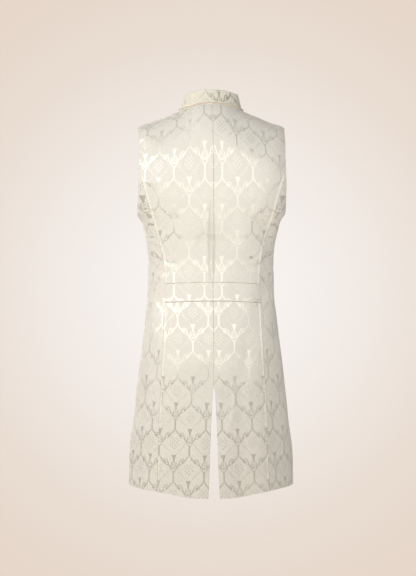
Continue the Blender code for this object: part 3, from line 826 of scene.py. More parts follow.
def collar_top_line(around):
    """Points of the collar's top edge, above the neck seam and drawn in towards the neck."""
    depth = np.where(np.cos(around) < 0, COLLAR_TOP_FRONT, COLLAR_TOP_BACK)
    top = neck_line(around)
    top[..., 0] = COLLAR_TOP_HALF_WIDTH * np.sin(around)
    top[..., 1] = depth * np.cos(around)
    top[..., 2] += read(COLLAR, COLLAR_COLUMNS, "stand", np.degrees(np.abs(around)))
    return top


def add_collar(materials):
    """The stand collar: a wall from just above the piping to its top edge, with rounded front corners."""
    around = (2 * spread(WIDTHS["collar"], COLLAR_STEP) - 1) * COLLAR_END
    base, top = neck_line(around), collar_top_line(around)
    stand = np.linalg.norm(top - base, axis=-1)
    along = np.gradient(base, axis=0)
    normal = np.cross(along, top - base)
    squareness = np.linalg.norm(normal, axis=-1) / np.linalg.norm(along, axis=-1) / stand
    clear = (PIPING_RADIUS + SEAM_GAP) / squareness / stand
    run = np.linalg.norm(np.diff(base, axis=0), axis=-1)
    from_start = np.concatenate([[0], np.cumsum(run)])
    from_end = np.minimum(from_start, from_start[-1] - from_start)
    short = np.clip(COLLAR_CORNER - from_end, 0, COLLAR_CORNER)
    corner_drop = COLLAR_CORNER - np.sqrt(COLLAR_CORNER**2 - short**2)
    reach = 1 - corner_drop / stand
    climb = spread(COLLAR_HEIGHT, COLLAR_ROW_STEP)[:, None]
    share = clear + (reach - clear) * climb
    normal /= np.linalg.norm(normal, axis=-1, keepdims=True)
    neck_middle = np.array([0, (NECK_BACK - NECK_FRONT) / 2, 0])
    outwards = np.sign(np.sum((base - neck_middle) * normal * [1, 1, 0], axis=-1))
    normal = (normal * outwards[:, None])[None, :, :]
    face = base + (top - base) * share[..., None]
    away = from_edges(face)
    nearest = np.minimum.reduce(list(away.values()))
    ridge = COLLAR_WELT * raised_seam(np.minimum(away["high"], np.minimum(away["first"], away["last"])))
    wave = sum(height * np.sin(from_start * rate + shift) * climb for height, rate, shift in COLLAR_WAVES)
    face = face + normal * (ridge + wave)[..., None]
    roll = quarter_round(nearest / (COLLAR_CLOTH / 2))
    outer = face - normal * (COLLAR_CLOTH / 2 * (1 - roll))[..., None]
    inner = face - normal * (COLLAR_CLOTH / 2 * (1 + roll))[..., None]
    grain = place_in_cloth("collar", from_start - from_start[-1] / 2, share * stand)
    # Painted highlight: the collar's turned lower edge, above the cord, is made paler through the lap
    # attribute.
    collar_edge_highlight = raised_seam(away["low"] * COLLAR_ROLL)
    return add_shell("collar_cloth", outer, inner, grain, away["low"], collar_edge_highlight, 1, materials)


# A cord's grain runs along it in metres, and this far once round it, from the side that is turned inwards, a
# quarter of a turn from its top. Its radius swells by the share of a strand from the share of a groove.
CORD_ROUND = 0.01
CORD_INWARDS = 0.25
CORD_GROOVE = 0.84
CORD_STRAND = 0.16


def add_cord(name, path, normal, radius, lobes, pitch, around_count, material, closed):
    """A twisted cord on a path: a circle whose radius swells with each strand, turning once for each pitch.

    An open cord's radius falls to nothing over its own width at both ends, on a quarter of a circle.
    """
    if closed:
        along = np.roll(path, -1, axis=0) - np.roll(path, 1, axis=0)
    else:
        along = np.gradient(path, axis=0)
    along /= np.linalg.norm(along, axis=-1, keepdims=True)
    sideways = np.cross(along, normal)
    sideways /= np.linalg.norm(sideways, axis=-1, keepdims=True)
    upward = np.cross(sideways, along)
    length = np.concatenate([[0], np.cumsum(np.linalg.norm(np.diff(path, axis=0), axis=-1))])
    angle = np.linspace(0, 2 * math.pi, around_count, endpoint=False)
    twist = angle[None, :] - 2 * math.pi / pitch * length[:, None]
    swell = CORD_GROOVE + CORD_STRAND * np.abs(np.cos(twist * lobes / 2))
    if not closed:
        to_end = np.minimum(length, length[-1] - length)
        swell = swell * quarter_round(to_end / radius)[:, None]
    up_part = np.cos(angle)[None, :, None] * upward[:, None, :]
    side_part = np.sin(angle)[None, :, None] * sideways[:, None, :]
    points = path[:, None, :] + (up_part + side_part) * (radius * swell)[..., None]
    count = len(path)
    index = np.arange(count * around_count).reshape(count, around_count)
    following = np.roll(index, -1, axis=1)
    upper = np.roll(index, -1, axis=0) if closed else index[1:]
    upper_following = np.roll(following, -1, axis=0) if closed else following[1:]
    last = count if closed else count - 1
    faces = np.stack([index[:last], upper, upper_following, following[:last]], axis=-1).reshape(-1, 4)
    from_inside = np.mod(angle / (2 * math.pi) - CORD_INWARDS, 1.0) * CORD_ROUND
    flat = np.stack(np.broadcast_arrays(length[:, None], from_inside[None, :]), axis=-1)
    return add_mesh(name, points.reshape(-1, 3), 1, faces, [material], flat.reshape(-1, 2))


# The cord is drawn a little thicker than its solid and stands out from the seam by this much.
CORD_DRAWN_RADIUS = 0.0025
CORD_OUT = 0.0011
CORD_POINTS = 620


def add_piping(material):
    """The cord in the neck seam, from one end of the collar round the neck to the other."""
    around = np.linspace(-COLLAR_END, COLLAR_END, CORD_POINTS)
    away = np.stack([np.sin(around), np.cos(around), 0 * around], axis=-1)
    path = neck_line(around) + away * CORD_OUT
    upright = np.broadcast_to([0.0, 0.0, 1.0], path.shape)
    return add_cord(
        "neck_cord", path, upright, CORD_DRAWN_RADIUS,
        lobes=3, pitch=0.016, around_count=18, material=material, closed=False,
    )


# A covered button's profile from its back to the middle of its face, in shares of its radius and height. The
# cloth is gathered round its edge.
BUTTON_COLUMNS = ("part", "radius", "height")
BUTTON_PROFILE = (
    (0.0, 0.02, 0.02),
    (0.10, 0.80, 0.00),
    (0.22, 0.97, 0.10),
    (0.36, 1.00, 0.28),
    (0.52, 0.93, 0.55),
    (0.75, 0.58, 0.88),
    (1.0, 0.004, 1.00),
)
BUTTON_RINGS = 26
BUTTON_SPOKES = 40
GATHERS = 14
GATHER_DEPTH = 0.012
GATHER_PART = 0.22
GATHER_SPREAD = 0.14


def add_button(name, rise, material):
    """A covered button on the left front: its profile turned round the front's normal."""
    part = np.linspace(0, 1, BUTTON_RINGS)[:, None]
    angle = np.linspace(0, 2 * math.pi, BUTTON_SPOKES, endpoint=False)[None, :]
    radius = read(BUTTON_PROFILE, BUTTON_COLUMNS, "radius", part) * BUTTON_RADIUS
    height = read(BUTTON_PROFILE, BUTTON_COLUMNS, "height", part) * BUTTON_HEIGHT
    at_edge = np.exp(-(((part - GATHER_PART) / GATHER_SPREAD) ** 2))
    gather = 1 + GATHER_DEPTH * np.sin(angle * GATHERS) * at_edge
    place = figure(np.array(math.pi), np.array(rise))
    normal = outward(np.array(math.pi), np.array(rise))
    upward = np.cross(normal, [1, 0, 0])
    spoke = np.cos(angle)[..., None] * np.array([1.0, 0, 0]) + np.sin(angle)[..., None] * upward
    points = place + normal * (BUTTON_CLEAR + height)[..., None] + spoke * (radius * gather)[..., None]
    index = np.arange(BUTTON_RINGS * BUTTON_SPOKES).reshape(BUTTON_RINGS, BUTTON_SPOKES)
    following = np.roll(index, -1, axis=1)
    sides = np.stack([index[:-1], following[:-1], following[1:], index[1:]], axis=-1).reshape(-1, 4).tolist()
    caps = [index[0, ::-1].tolist(), index[-1].tolist()]
    return add_mesh(name, points.reshape(-1, 3), 1, sides + caps, [material])


BUTTONHOLE_MIDDLE = 0.0070
BUTTONHOLE_HALF_LENGTH = 0.0095
BUTTONHOLE_HALF_WIDTH = 0.0011
BUTTONHOLE_SQUARENESS = 0.6
BUTTONHOLE_OUT = 0.0004
BUTTONHOLE_POINTS = 120
STITCH_RADIUS = 0.00055


def add_buttonhole(name, rise, material):
    """Purl stitches round the slit behind a button: a thin cord on a long oval that lies on the front."""
    around = np.linspace(0, 2 * math.pi, BUTTONHOLE_POINTS, endpoint=False)
    oval = np.sign(np.cos(around)) * np.abs(np.cos(around)) ** BUTTONHOLE_SQUARENESS
    along = BUTTONHOLE_MIDDLE + BUTTONHOLE_HALF_LENGTH * oval
    rises = rise + BUTTONHOLE_HALF_WIDTH * np.sin(around)
    turn = turn_at(np.abs(along), rises, in_front=True)
    turn = np.where(along < 0, 2 * math.pi - turn, turn)
    normal = outward(turn, rises)
    path = figure(turn, rises) + normal * BUTTONHOLE_OUT
    return add_cord(
        name, path, normal, STITCH_RADIUS,
        lobes=2, pitch=0.0012, around_count=8, material=material, closed=True,
    )


# The damask's figure, drawn as strokes of a repeat. Down is the distance in millimetres below the top of the
# triangle on a column's axis, across the distance of the stroke's middle from that axis, and half_width half
# of the stroke's breadth. The repeat is 125 mm high, and each column starts half a repeat below the last.
REPEAT_HEIGHT = 125.0
COLUMN_WIDTH = 37.5
FIRST_TOP = 831.6
STROKE_COLUMNS = ("down", "across", "half_width")
TRIANGLE = ((0.4, 0.0, 5.9), (4.0, 0.0, 4.6), (8.5, 0.0, 2.7), (13.0, 0.0, 1.6), (19.0, 0.0, 1.0))
FLOWER_HEART = ((22.2, 0.0, 0.6), (24.0, 0.0, 2.0), (25.8, 0.0, 0.6))
FLOWER_FOOT = ((30.8, 0.0, 0.8), (32.5, 0.0, 2.2), (35.5, 0.0, 0.9))
STEM = ((40.0, 0.0, 0.7), (43.0, 0.0, 1.4), (60.0, 0.0, 1.3), (66.0, 0.0, 2.0))
FLOWER_RING = (
    (18.6, 1.2, 1.2),
    (20.0, 4.1, 1.1),
    (22.0, 5.6, 0.9),
    (24.0, 6.1, 0.9),
    (26.0, 5.6, 0.9),
    (28.0, 4.1, 1.1),
    (29.4, 1.4, 1.4),
)
ARMS = ((66.5, 1.6, 1.3), (69.0, 3.6, 1.5), (72.0, 5.6, 1.6), (75.0, 8.6, 1.8), (77.0, 11.5, 2.0))
TAIL = ((89.0, 26.0, 0.7), (95.0, 29.0, 0.6), (100.0, 32.0, 0.7), (104.0, 35.6, 1.0), (106.5, 37.5, 1.4))
COMMA = (
    (72.6, 16.5, 1.6),
    (75.0, 16.2, 5.0),
    (78.0, 16.2, 6.6),
    (81.0, 17.2, 6.8),
    (84.0, 19.4, 5.6),
    (87.0, 22.6, 3.6),
    (89.4, 25.2, 1.5),
)
COMMA_EYE = (
    (74.6, 15.8, 1.0),
    (76.4, 15.8, 4.4),
    (79.0, 16.2, 5.4),
    (81.5, 17.2, 5.2),
    (84.0, 19.4, 4.0),
    (86.6, 21.8, 1.6),
)
BELL = (
    (90.0, 26.2, 1.6),
    (96.0, 26.4, 2.4),
    (104.0, 23.6, 2.6),
    (112.0, 18.8, 2.6),
    (119.0, 12.4, 2.4),
    (124.5, 6.6, 1.8),
)
PETAL = ((26.5, 9.4, 0.7), (29.0, 8.2, 1.3), (32.0, 5.8, 1.4), (35.0, 3.0, 0.9))
SEEDED = ((84.0, 0.0, 1.0), (88.0, 0.0, 8.0), (96.0, 0.0, 11.0), (104.0, 0.0, 10.0), (112.0, 0.0, 3.0))
COMMA_SEED = ((76.8, 14.8, 1.2), (78.6, 15.0, 2.9), (80.6, 15.6, 3.2), (82.4, 16.8, 2.4), (84.0, 18.0, 1.0))
SEED_SPACING = 4.6
SEED_RADIUS = 2.2


def linear(code):
    """An sRGB hex colour as linear red, green, blue and a full alpha."""
    parts = [int(code[i : i + 2], 16) / 255 for i in (1, 3, 5)]
    return (*[c / 12.92 if c <= 0.04045 else ((c + 0.055) / 1.055) ** 2.4 for c in parts], 1)


def feed(node, links):
    """Gives a node's inputs their values, or the outputs that they read."""
    for socket, value in links.items():
        if isinstance(value, bpy.types.NodeSocket):
            node.id_data.links.new(value, node.inputs[socket])
        else:
            node.inputs[socket].default_value = value


def add(tree, kind, links=None, output=0, **settings):
    """Adds one node to a tree, sets it up, feeds its inputs, and gives back the output that is read."""
    made = tree.nodes.new(kind)
    for setting, value in settings.items():
        setattr(made, setting, value)
    feed(made, links or {})
    return made.outputs[output]


# A drawn curve's values lie between 0 and 1, so depths in the figure are divided by the scale, and the floor
# keeps them above 0. The swell makes every stroke that much wider, its edge is this soft, and it ends over
# the length of its tip, at a half width of less than nothing. All are in millimetres.
STROKE_SCALE = 40.0
STROKE_FLOOR = 4.0
STROKE_SWELL = 0.45
STROKE_SOFT = 0.35
STROKE_TIP = 0.4
NO_STROKE = -3.0


def stroke(tree, down, across, *parts):
    """How deep a point lies inside strokes that follow one another down a column: half width less distance.

    Two drawn curves give the middle and the half width for each distance down. Between strokes the half width
    is less than nothing, and all values are kept above 0 by a floor that comes off again at the end.
    """
    rows = []
    for part in parts:
        rows.append((part[0][0] - STROKE_TIP, part[0][1], NO_STROKE))
        rows.extend(part)
        rows.append((part[-1][0] + STROKE_TIP, part[-1][1], NO_STROKE))
    head = [(0.0, rows[0][1], NO_STROKE)] * (rows[0][0] > 0)
    rows = head + rows + [(REPEAT_HEIGHT, rows[-1][1], NO_STROKE)]
    curves = []
    for name, floor in (("across", 0.0), ("half_width", STROKE_FLOOR)):
        column = STROKE_COLUMNS.index(name)
        curve = add(tree, "ShaderNodeFloatCurve", {"Value": down})
        mapping = curve.node.mapping
        points = mapping.curves[0].points
        for row in rows:
            if 0 < row[0] < REPEAT_HEIGHT:
                points.new(row[0] / REPEAT_HEIGHT, (row[column] + floor) / STROKE_SCALE)
        points[0].location = (0, (rows[0][column] + floor) / STROKE_SCALE)
        points[len(points) - 1].location = (1, (rows[-1][column] + floor) / STROKE_SCALE)
        for point in points:
            point.handle_type = "VECTOR"
        mapping.update()
        curves.append(curve)
    off = add(tree, "ShaderNodeMath", {0: across, 1: curves[0]}, operation="SUBTRACT")
    distance = add(tree, "ShaderNodeMath", {0: off}, operation="ABSOLUTE")
    return add(tree, "ShaderNodeMath", {0: curves[1], 1: distance}, operation="SUBTRACT")


def seeds(tree, down, across, part):
    """Rows of dots, each half a step off the last, inside a part of the repeat.

    Both ways on the slant are folded to the nearest dot. The radius less the distance to it is how deep a
    point lies in a dot, and the smaller of that and the depth in the part is the result.
    """
    step = SEED_SPACING / STROKE_SCALE
    off = []
    for way in (1, -1):
        steepness = way * REPEAT_HEIGHT / STROKE_SCALE
        slant = add(tree, "ShaderNodeMath", {0: down, 1: steepness, 2: across}, operation="MULTIPLY_ADD")
        off.append(add(tree, "ShaderNodeMath", {0: slant, 1: step}, operation="PINGPONG"))
    gap = add(tree, "ShaderNodeCombineXYZ", {0: off[0], 1: off[1]})
    distance = add(tree, "ShaderNodeVectorMath", {0: gap}, "Value", operation="LENGTH")
    deep = (SEED_RADIUS + STROKE_FLOOR - STROKE_SWELL) / STROKE_SCALE
    dot = add(tree, "ShaderNodeMath", {0: deep, 1: distance}, operation="SUBTRACT")
    room = stroke(tree, down, across, part)
    return add(tree, "ShaderNodeMath", {0: dot, 1: room}, operation="MINIMUM")


# So many whole repeats are added that every place lies below the first.
REPEATS_ABOVE = 20


def damask_group():
    """The figure of the damask from a place in the flat cloth: 1 on the satin figure and 0 on the ground.

    A place is folded into one half of its column, with its distance down the repeat. The strokes that reach
    over from the next column are drawn again from that column's side.
    """
    tree = bpy.data.node_groups.new("damask_figure", "ShaderNodeTree")
    tree.interface.new_socket("Grain", in_out="INPUT", socket_type="NodeSocketVector")
    tree.interface.new_socket("Figure", in_out="OUTPUT", socket_type="NodeSocketFloat")
    place = add(tree, "ShaderNodeSeparateXYZ", {0: add(tree, "NodeGroupInput")}).node.outputs
    columns = add(tree, "ShaderNodeMath", {0: place[0], 1: 1000 / COLUMN_WIDTH}, operation="MULTIPLY")
    number = add(tree, "ShaderNodeMath", {0: columns}, operation="FLOOR")
    within = add(tree, "ShaderNodeMath", {0: columns, 1: number}, operation="SUBTRACT")
    centred = add(tree, "ShaderNodeMath", {0: within, 1: 0.5}, operation="SUBTRACT")
    folded = add(tree, "ShaderNodeMath", {0: centred}, operation="ABSOLUTE")
    width = COLUMN_WIDTH / STROKE_SCALE
    near = add(tree, "ShaderNodeMath", {0: folded, 1: width}, operation="MULTIPLY")
    far = add(tree, "ShaderNodeMath", {0: width, 1: near}, operation="SUBTRACT")
    first_top = FIRST_TOP / REPEAT_HEIGHT + REPEATS_ABOVE
    falling = {0: place[1], 1: -1000 / REPEAT_HEIGHT, 2: first_top}
    below = add(tree, "ShaderNodeMath", falling, operation="MULTIPLY_ADD")
    drop = add(tree, "ShaderNodeMath", {0: number, 1: 0.5, 2: below}, operation="MULTIPLY_ADD")
    down = add(tree, "ShaderNodeMath", {0: drop}, operation="FRACT")
    lower = add(tree, "ShaderNodeMath", {0: drop, 1: 0.5}, operation="ADD")
    far_down = add(tree, "ShaderNodeMath", {0: lower}, operation="FRACT")

    def greatest(depths):
        first = depths[0]
        for other in depths[1:]:
            first = add(tree, "ShaderNodeMath", {0: first, 1: other}, operation="MAXIMUM")
        return first

    here = (down, near)
    next_column = (far_down, far)
    both = (here, next_column)
    inside = greatest([stroke(tree, *column, COMMA) for column in both])
    full = 2 * STROKE_FLOOR / STROKE_SCALE
    for column in both:
        eye = stroke(tree, *column, COMMA_EYE)
        clear = add(tree, "ShaderNodeMath", {0: full, 1: eye}, operation="SUBTRACT")
        inside = add(tree, "ShaderNodeMath", {0: inside, 1: clear}, operation="MINIMUM")
    depths = [inside]
    depths.append(stroke(tree, *here, TRIANGLE, FLOWER_HEART, FLOWER_FOOT, STEM))
    depths.append(stroke(tree, *here, FLOWER_RING, ARMS, TAIL))
    depths.append(stroke(tree, *next_column, TAIL))
    depths.append(stroke(tree, *here, PETAL, COMMA_SEED))
    depths.append(seeds(tree, *here, SEEDED))
    depths += [seeds(tree, *column, BELL) for column in both]
    edge = STROKE_SOFT / STROKE_SCALE
    level = (STROKE_FLOOR - STROKE_SWELL) / STROKE_SCALE
    limits = {0: greatest(depths), 1: level - edge, 2: level + edge, 3: 0.0, 4: 1.0}
    mask = add(tree, "ShaderNodeMapRange", limits, interpolation_type="SMOOTHSTEP")
    feed(tree.nodes.new("NodeGroupOutput"), {0: mask})
    return tree


DAMASK = damask_group()


def new_material(name):
    """A new material, its nodes' tree and its shader."""
    material = bpy.data.materials.new(name)
    material.use_nodes = True
    return material, material.node_tree, material.node_tree.nodes["Principled BSDF"]


# Drawn threads in a metre, and how many times in a metre a thread's thickness changes along it.
THREADS = 900.0
WEFT_SLUBS = 22.0
WARP_SLUBS = 30.0


def damask(name, ground, satin, ground_roughness, satin_roughness, satin_shine, seam_shade):
    """Silk and cotton damask, woven: a matt ground with a warp satin figure of nearly the same colour.

    The eye gets the figure from its gloss: it shines where it faces the lamp and looks darker where it
    doesn't. Threads are 0.25 mm apart in the real cloth and are drawn about 1 mm apart so that they show.
    The pressed ridges get a painted highlight in pale cream, and the seams' edges get a faint beige, which is
    painted shade in the seams and the stitches in them.
    """
    material, tree, shader = new_material(name)
    grain = add(tree, "ShaderNodeUVMap", uv_map="grain")
    mask = add(tree, "ShaderNodeGroup", {0: grain}, node_tree=DAMASK)
    weft = add(tree, "ShaderNodeMapping", {0: grain, 3: (WEFT_SLUBS, THREADS, 1.0)})
    warp = add(tree, "ShaderNodeMapping", {0: grain, 3: (THREADS, WARP_SLUBS, 1.0)})
    weft_slubs = add(tree, "ShaderNodeTexNoise", {"Vector": weft, "Scale": 1.0, "Detail": 2.0})
    warp_slubs = add(tree, "ShaderNodeTexNoise", {"Vector": warp, "Scale": 1.0, "Detail": 2.0})
    cloudy = add(tree, "ShaderNodeTexNoise", {"Vector": grain, "Scale": 9.0, "Detail": 3.0})
    threads = add(tree, "ShaderNodeMath", {0: weft_slubs, 1: warp_slubs}, operation="ADD")
    tone = add(tree, "ShaderNodeMix", {0: mask, 6: linear(ground), 7: linear(satin)}, 2, data_type="RGBA")
    shade = add(tree, "ShaderNodeMapRange", {0: threads, 1: 0.6, 2: 1.4, 3: 0.94, 4: 1.04})
    drift = add(tree, "ShaderNodeMapRange", {0: cloudy, 1: 0.3, 2: 0.7, 3: 0.975, 4: 1.02})
    level = add(tree, "ShaderNodeMath", {0: shade, 1: drift}, operation="MULTIPLY")
    toned = add(tree, "ShaderNodeVectorMath", {0: tone, 3: level}, operation="SCALE")
    seam = add(tree, "ShaderNodeAttribute", output=2, attribute_name="seam")
    lap = add(tree, "ShaderNodeAttribute", output=2, attribute_name="lap")
    # Painted highlight: the pressed ridges and the collar's turned lower edge are mixed towards pale cream.
    pressed = add(tree, "ShaderNodeMath", {0: lap, 1: 0.55}, operation="MULTIPLY")
    ridge_painted_highlight = add(tree, "ShaderNodeMix", {0: pressed, 6: toned, 7: linear("#fdf8e8")}, 2, data_type="RGBA")
    # Painted shade: a beige-brown line along the sewn edges, where the seams are shaded, with their stitches.
    seam_painted_shade = add(tree, "ShaderNodeMapRange", {0: seam, 1: 0.0002, 2: 0.0016, 3: seam_shade, 4: 0.0})
    shadow = add(tree, "ShaderNodeMix", {0: seam_painted_shade, 6: ridge_painted_highlight, 7: linear("#a88c62")}, 2, data_type="RGBA")
    roughnesses = {0: mask, 1: 0.0, 2: 1.0, 3: ground_roughness, 4: satin_roughness}
    rough = add(tree, "ShaderNodeMapRange", roughnesses)
    shine = add(tree, "ShaderNodeMath", {0: mask, 1: satin_shine}, operation="MULTIPLY")
    relief = add(tree, "ShaderNodeMath", {0: threads, 1: 0.35, 2: mask}, operation="MULTIPLY_ADD")
    bump = add(tree, "ShaderNodeBump", {"Strength": 0.5, "Distance": 0.00012, "Height": relief})
    warp_way = add(tree, "ShaderNodeTangent", direction_type="UV_MAP", uv_map="grain")
    feed(shader, {"Base Color": shadow, "Roughness": rough, "Metallic": shine})
    feed(shader, {"Normal": bump, "Tangent": warp_way})
    shader.inputs["Specular IOR Level"].default_value = 1.0
    shader.inputs["IOR"].default_value = 1.8
    shader.inputs["Anisotropic"].default_value = 0.8
    shader.inputs["Sheen Weight"].default_value = 0.10
    shader.inputs["Sheen Roughness"].default_value = 0.5
    return material


# The wave texture's bands are this far apart at a scale of one. The brown line runs this share of the way
# round the cord, is brown up to its core from its middle, and is gone at its edge.
WAVE_PITCH = math.pi / 10
LINE_ROUND = 0.51
LINE_CORE = 0.0004
LINE_EDGE = 0.0008


def thread(name, colour, roughness, lay, seam_shade):
    """Silk cord or sewing thread, twisted: a soft shine along fine strands that lie across its length.

    The lay is the distance between its strands in metres. The cord is folded into the seam, and the eye gets
    a thin brown line along its middle, where the seam shades it.
    """
    material, tree, shader = new_material(name)
    grain = add(tree, "ShaderNodeUVMap", uv_map="grain")
    laid = {0: grain, "Scale": WAVE_PITCH / lay, "Distortion": 1.2, "Detail": 1.0}
    strands = add(tree, "ShaderNodeTexWave", laid, 1, bands_direction="DIAGONAL")
    tone = add(tree, "ShaderNodeMapRange", {0: strands, 1: 0.0, 2: 1.0, 3: 0.78, 4: 1.05})
    toned = add(tree, "ShaderNodeVectorMath", {0: linear(colour)[:3], 3: tone}, operation="SCALE")
    around = add(tree, "ShaderNodeSeparateXYZ", {0: grain}, 1)
    off = add(tree, "ShaderNodeMath", {0: around, 1: CORD_ROUND * LINE_ROUND}, operation="SUBTRACT")
    distance = add(tree, "ShaderNodeMath", {0: off}, operation="ABSOLUTE")
    share = add(tree, "ShaderNodeMapRange", {0: distance, 1: LINE_CORE, 2: LINE_EDGE, 3: seam_shade, 4: 0.0})
    edged = add(tree, "ShaderNodeMix", {0: share, 6: toned, 7: linear("#8a6438")}, 2, data_type="RGBA")
    bump = add(tree, "ShaderNodeBump", {"Strength": 0.5, "Distance": 0.0002, "Height": strands})
    feed(shader, {"Base Color": edged, "Normal": bump, "Roughness": roughness, "Sheen Weight": 0.1})
    return material


def covered(name, colour):
    """Plain woven ivory cloth drawn over a button mould: matt, with a fine weave across it."""
    material, tree, shader = new_material(name)
    place = add(tree, "ShaderNodeTexCoord", output="Object")
    weave = add(tree, "ShaderNodeTexNoise", {"Vector": place, "Scale": 1400.0, "Detail": 2.0})
    tone = add(tree, "ShaderNodeMapRange", {0: weave, 1: 0.3, 2: 0.7, 3: 0.9, 4: 1.04})
    toned = add(tree, "ShaderNodeVectorMath", {0: linear(colour)[:3], 3: tone}, operation="SCALE")
    bump = add(tree, "ShaderNodeBump", {"Strength": 0.6, "Distance": 0.0001, "Height": weave})
    feed(shader, {"Base Color": toned, "Normal": bump, "Roughness": 0.55, "Sheen Weight": 0.1})
    return material


# The collar is the same damask over stiffening, as a copy with painted shade: its ground and satin are
# darker, and the painted shade along its lower edge, over the cord, is stronger.
outside_finish = damask("ivory_silk_damask", "#dedad1", "#ede8dd", 0.82, 0.34, 0.66, 0.20)
collar_painted_shade_finish = damask("ivory_damask_collar_painted_shade", "#dbd6c9", "#c6beab", 0.82, 0.34, 0.66, 0.30)
reverse_finish = damask("ivory_damask_reverse", "#d9d3c4", "#e4decf", 0.62, 0.80, 0.0, 0.12)
cord_finish = thread("gold_silk_cord", "#f4ead8", 0.42, 0.0020, 0.7)
thread_finish = thread("ivory_buttonhole_twist", "#e6dcc2", 0.45, 0.0004, 0.0)
button_finish = covered("ivory_covered_button", "#e8e0ca")


def ready(piece, solid=None):
    """Puts a piece on the part's only body, and in the place of its solid where it has one."""
    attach(piece, "root")
    if solid:
        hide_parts(solid)
    return piece


for side, word in ((1, "left"), (-1, "right")):
    for part, build in (
        ("back", add_back),
        ("waistband", add_waistband),
        ("skirt_back", add_skirt_back),
        ("side", add_side),
        ("front", add_front),
    ):
        piece = build(f"{part}_cloth_{word}", side, (outside_finish, reverse_finish))
        ready(piece, f"{part}_{word}")

ready(add_collar((collar_painted_shade_finish, reverse_finish)), "collar")
ready(add_piping(cord_finish), "collar_piping")

for number, height in enumerate(np.linspace(TOP_BUTTON, LOWEST_BUTTON, BUTTON_COUNT), start=1):
    rise = rise_of(height)
    ready(add_button(f"covered_button_{number}", rise, button_finish), f"button_{number}")
    ready(add_buttonhole(f"buttonhole_{number}", rise, thread_finish))

# A plain pale floor as far below the hem as the wearer's feet are, out of the photograph's view.
FLOOR_HEIGHT = -1.45
FLOOR_RADIUS = 1.15
FLOOR_CORNERS = 96
angles = np.linspace(0, 2 * math.pi, FLOOR_CORNERS, endpoint=False)
rim = np.stack([np.cos(angles), np.sin(angles), 0 * angles], axis=-1) * FLOOR_RADIUS
rim[:, 2] = FLOOR_HEIGHT
floor_mesh = bpy.data.meshes.new("pale_floor")
floor_mesh.from_pydata(rim, [], [list(range(FLOOR_CORNERS))])
floor_finish, _, floor_shader = new_material("pale_floor_paint")
feed(floor_shader, {"Base Color": linear("#f4e9df"), "Roughness": 0.9})
floor_mesh.materials.append(floor_finish)
place_object("pale_floor", floor_mesh)

# The surround is palest straight ahead of the camera, a painted pool of light, and its paleness fades between
# these two angles.
AHEAD = (-0.049, -0.9988, 0.0)
PALE_WITHIN = 0.02
PALE_GONE = 0.27


def add_world():
    """A pale peach surround that is lightest behind the garment, and a dimmer even light from all round."""
    world = bpy.data.worlds.new("studio")
    bpy.context.scene.world = world
    world.use_nodes = True
    tree = world.node_tree
    tree.nodes.clear()
    direction = add(tree, "ShaderNodeTexCoord", output="Generated")
    ahead = add(tree, "ShaderNodeVectorMath", {0: direction, 1: AHEAD}, "Value", operation="DOT_PRODUCT")
    angle = add(tree, "ShaderNodeMath", {0: ahead}, operation="ARCCOSINE")
    fading = {0: angle, 1: PALE_WITHIN, 2: PALE_GONE, 3: 1.0, 4: 0.0}
    near = add(tree, "ShaderNodeMapRange", fading, interpolation_type="SMOOTHSTEP")
    # Painted light: the surround that the camera sees is a painted pool of light, pale in the middle, peach
    # round it.
    tones = {0: near, 6: linear("#e6d7ca"), 7: linear("#f7f3f0")}
    tone = add(tree, "ShaderNodeMix", tones, 2, data_type="RGBA")
    seen = add(tree, "ShaderNodeBackground", {0: tone, 1: 1.0})
    height = add(tree, "ShaderNodeSeparateXYZ", {0: direction}, 2)
    level = add(tree, "ShaderNodeMapRange", {0: height, 1: -0.4, 2: 0.7, 3: 0.33, 4: 0.50})
    lit = add(tree, "ShaderNodeBackground", {0: linear("#f6f3ee"), 1: level})
    to_camera = add(tree, "ShaderNodeLightPath", output="Is Camera Ray")
    both = add(tree, "ShaderNodeMixShader", {0: to_camera, 1: lit, 2: seen})
    feed(tree.nodes.new("ShaderNodeOutputWorld"), {0: both})


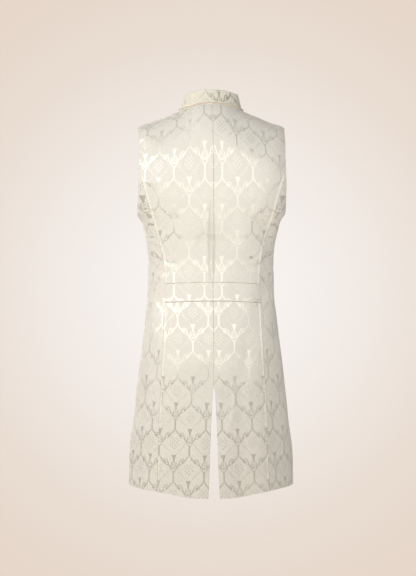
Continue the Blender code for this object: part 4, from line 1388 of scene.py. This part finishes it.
def add_lamp(name, place, target, width, height, power, colour):
    """A soft box: a rectangle of light at a place, turned to a target."""
    data = bpy.data.lights.new(name, "AREA")
    data.shape = "RECTANGLE"
    data.size = width
    data.size_y = height
    data.energy = power
    data.color = linear(colour)[:3]
    lamp = place_object(name, data)
    facing = (Vector(target) - Vector(place)).to_track_quat("-Z", "Y")
    lamp.visible_camera = False
    lamp.matrix_world = Matrix.Translation(place) @ facing.to_matrix().to_4x4()


# The glow box stands close to the back, and its mirror image is what lights up the satin figure. The key box
# is on the wearer's left, the bounce board lies on the floor under the hem, and the front box is for the
# front.
add_world()
add_lamp("glow_softbox", (0.0, 0.82, -0.06), (0.0, 0.0, -0.06), 1.90, 1.08, 6.8, "#f9fcf8")
add_lamp("key_softbox", (3.3, 0.9, 1.50), (0.0, 0.0, -0.30), 4.8, 3.0, 80.0, "#fffbf6")
add_lamp("bounce_board", (0.2, 1.0, -1.44), (0.2, 0.9, 0.0), 3.0, 0.9, 16.5, "#fff4e6")
add_lamp("front_softbox", (1.1, -3.0, 0.2), (0.0, 0.0, -0.45), 3.0, 2.6, 38.0, "#fff8f0")

# The photograph's camera: level, 3.2 m away, a little to the wearer's left of the centre back.
CAMERA_DISTANCE = 3.2
CAMERA_YAW = math.radians(2.8)
CAMERA_HEIGHT = -0.4423
FRAME_HEIGHT = 1.44
AIM_ASIDE = 0.0075
camera_data = bpy.data.cameras.new("photo_camera")
camera_data.sensor_fit = "VERTICAL"
camera_data.sensor_height = 36.0
camera_data.lens = camera_data.sensor_height / FRAME_HEIGHT * CAMERA_DISTANCE
camera = place_object("photo_camera", camera_data)
looking = Vector((-math.sin(CAMERA_YAW), -math.cos(CAMERA_YAW), 0))
sideways = Vector((math.cos(CAMERA_YAW), -math.sin(CAMERA_YAW), 0))
camera_place = -looking * CAMERA_DISTANCE + sideways * AIM_ASIDE + Vector((0, 0, CAMERA_HEIGHT))
camera.matrix_world = Matrix.Translation(camera_place) @ looking.to_track_quat("-Z", "Y").to_matrix().to_4x4()
bpy.context.scene.camera = camera
bpy.context.scene.view_settings.view_transform = "Standard"
bpy.context.scene.view_settings.look = "None"
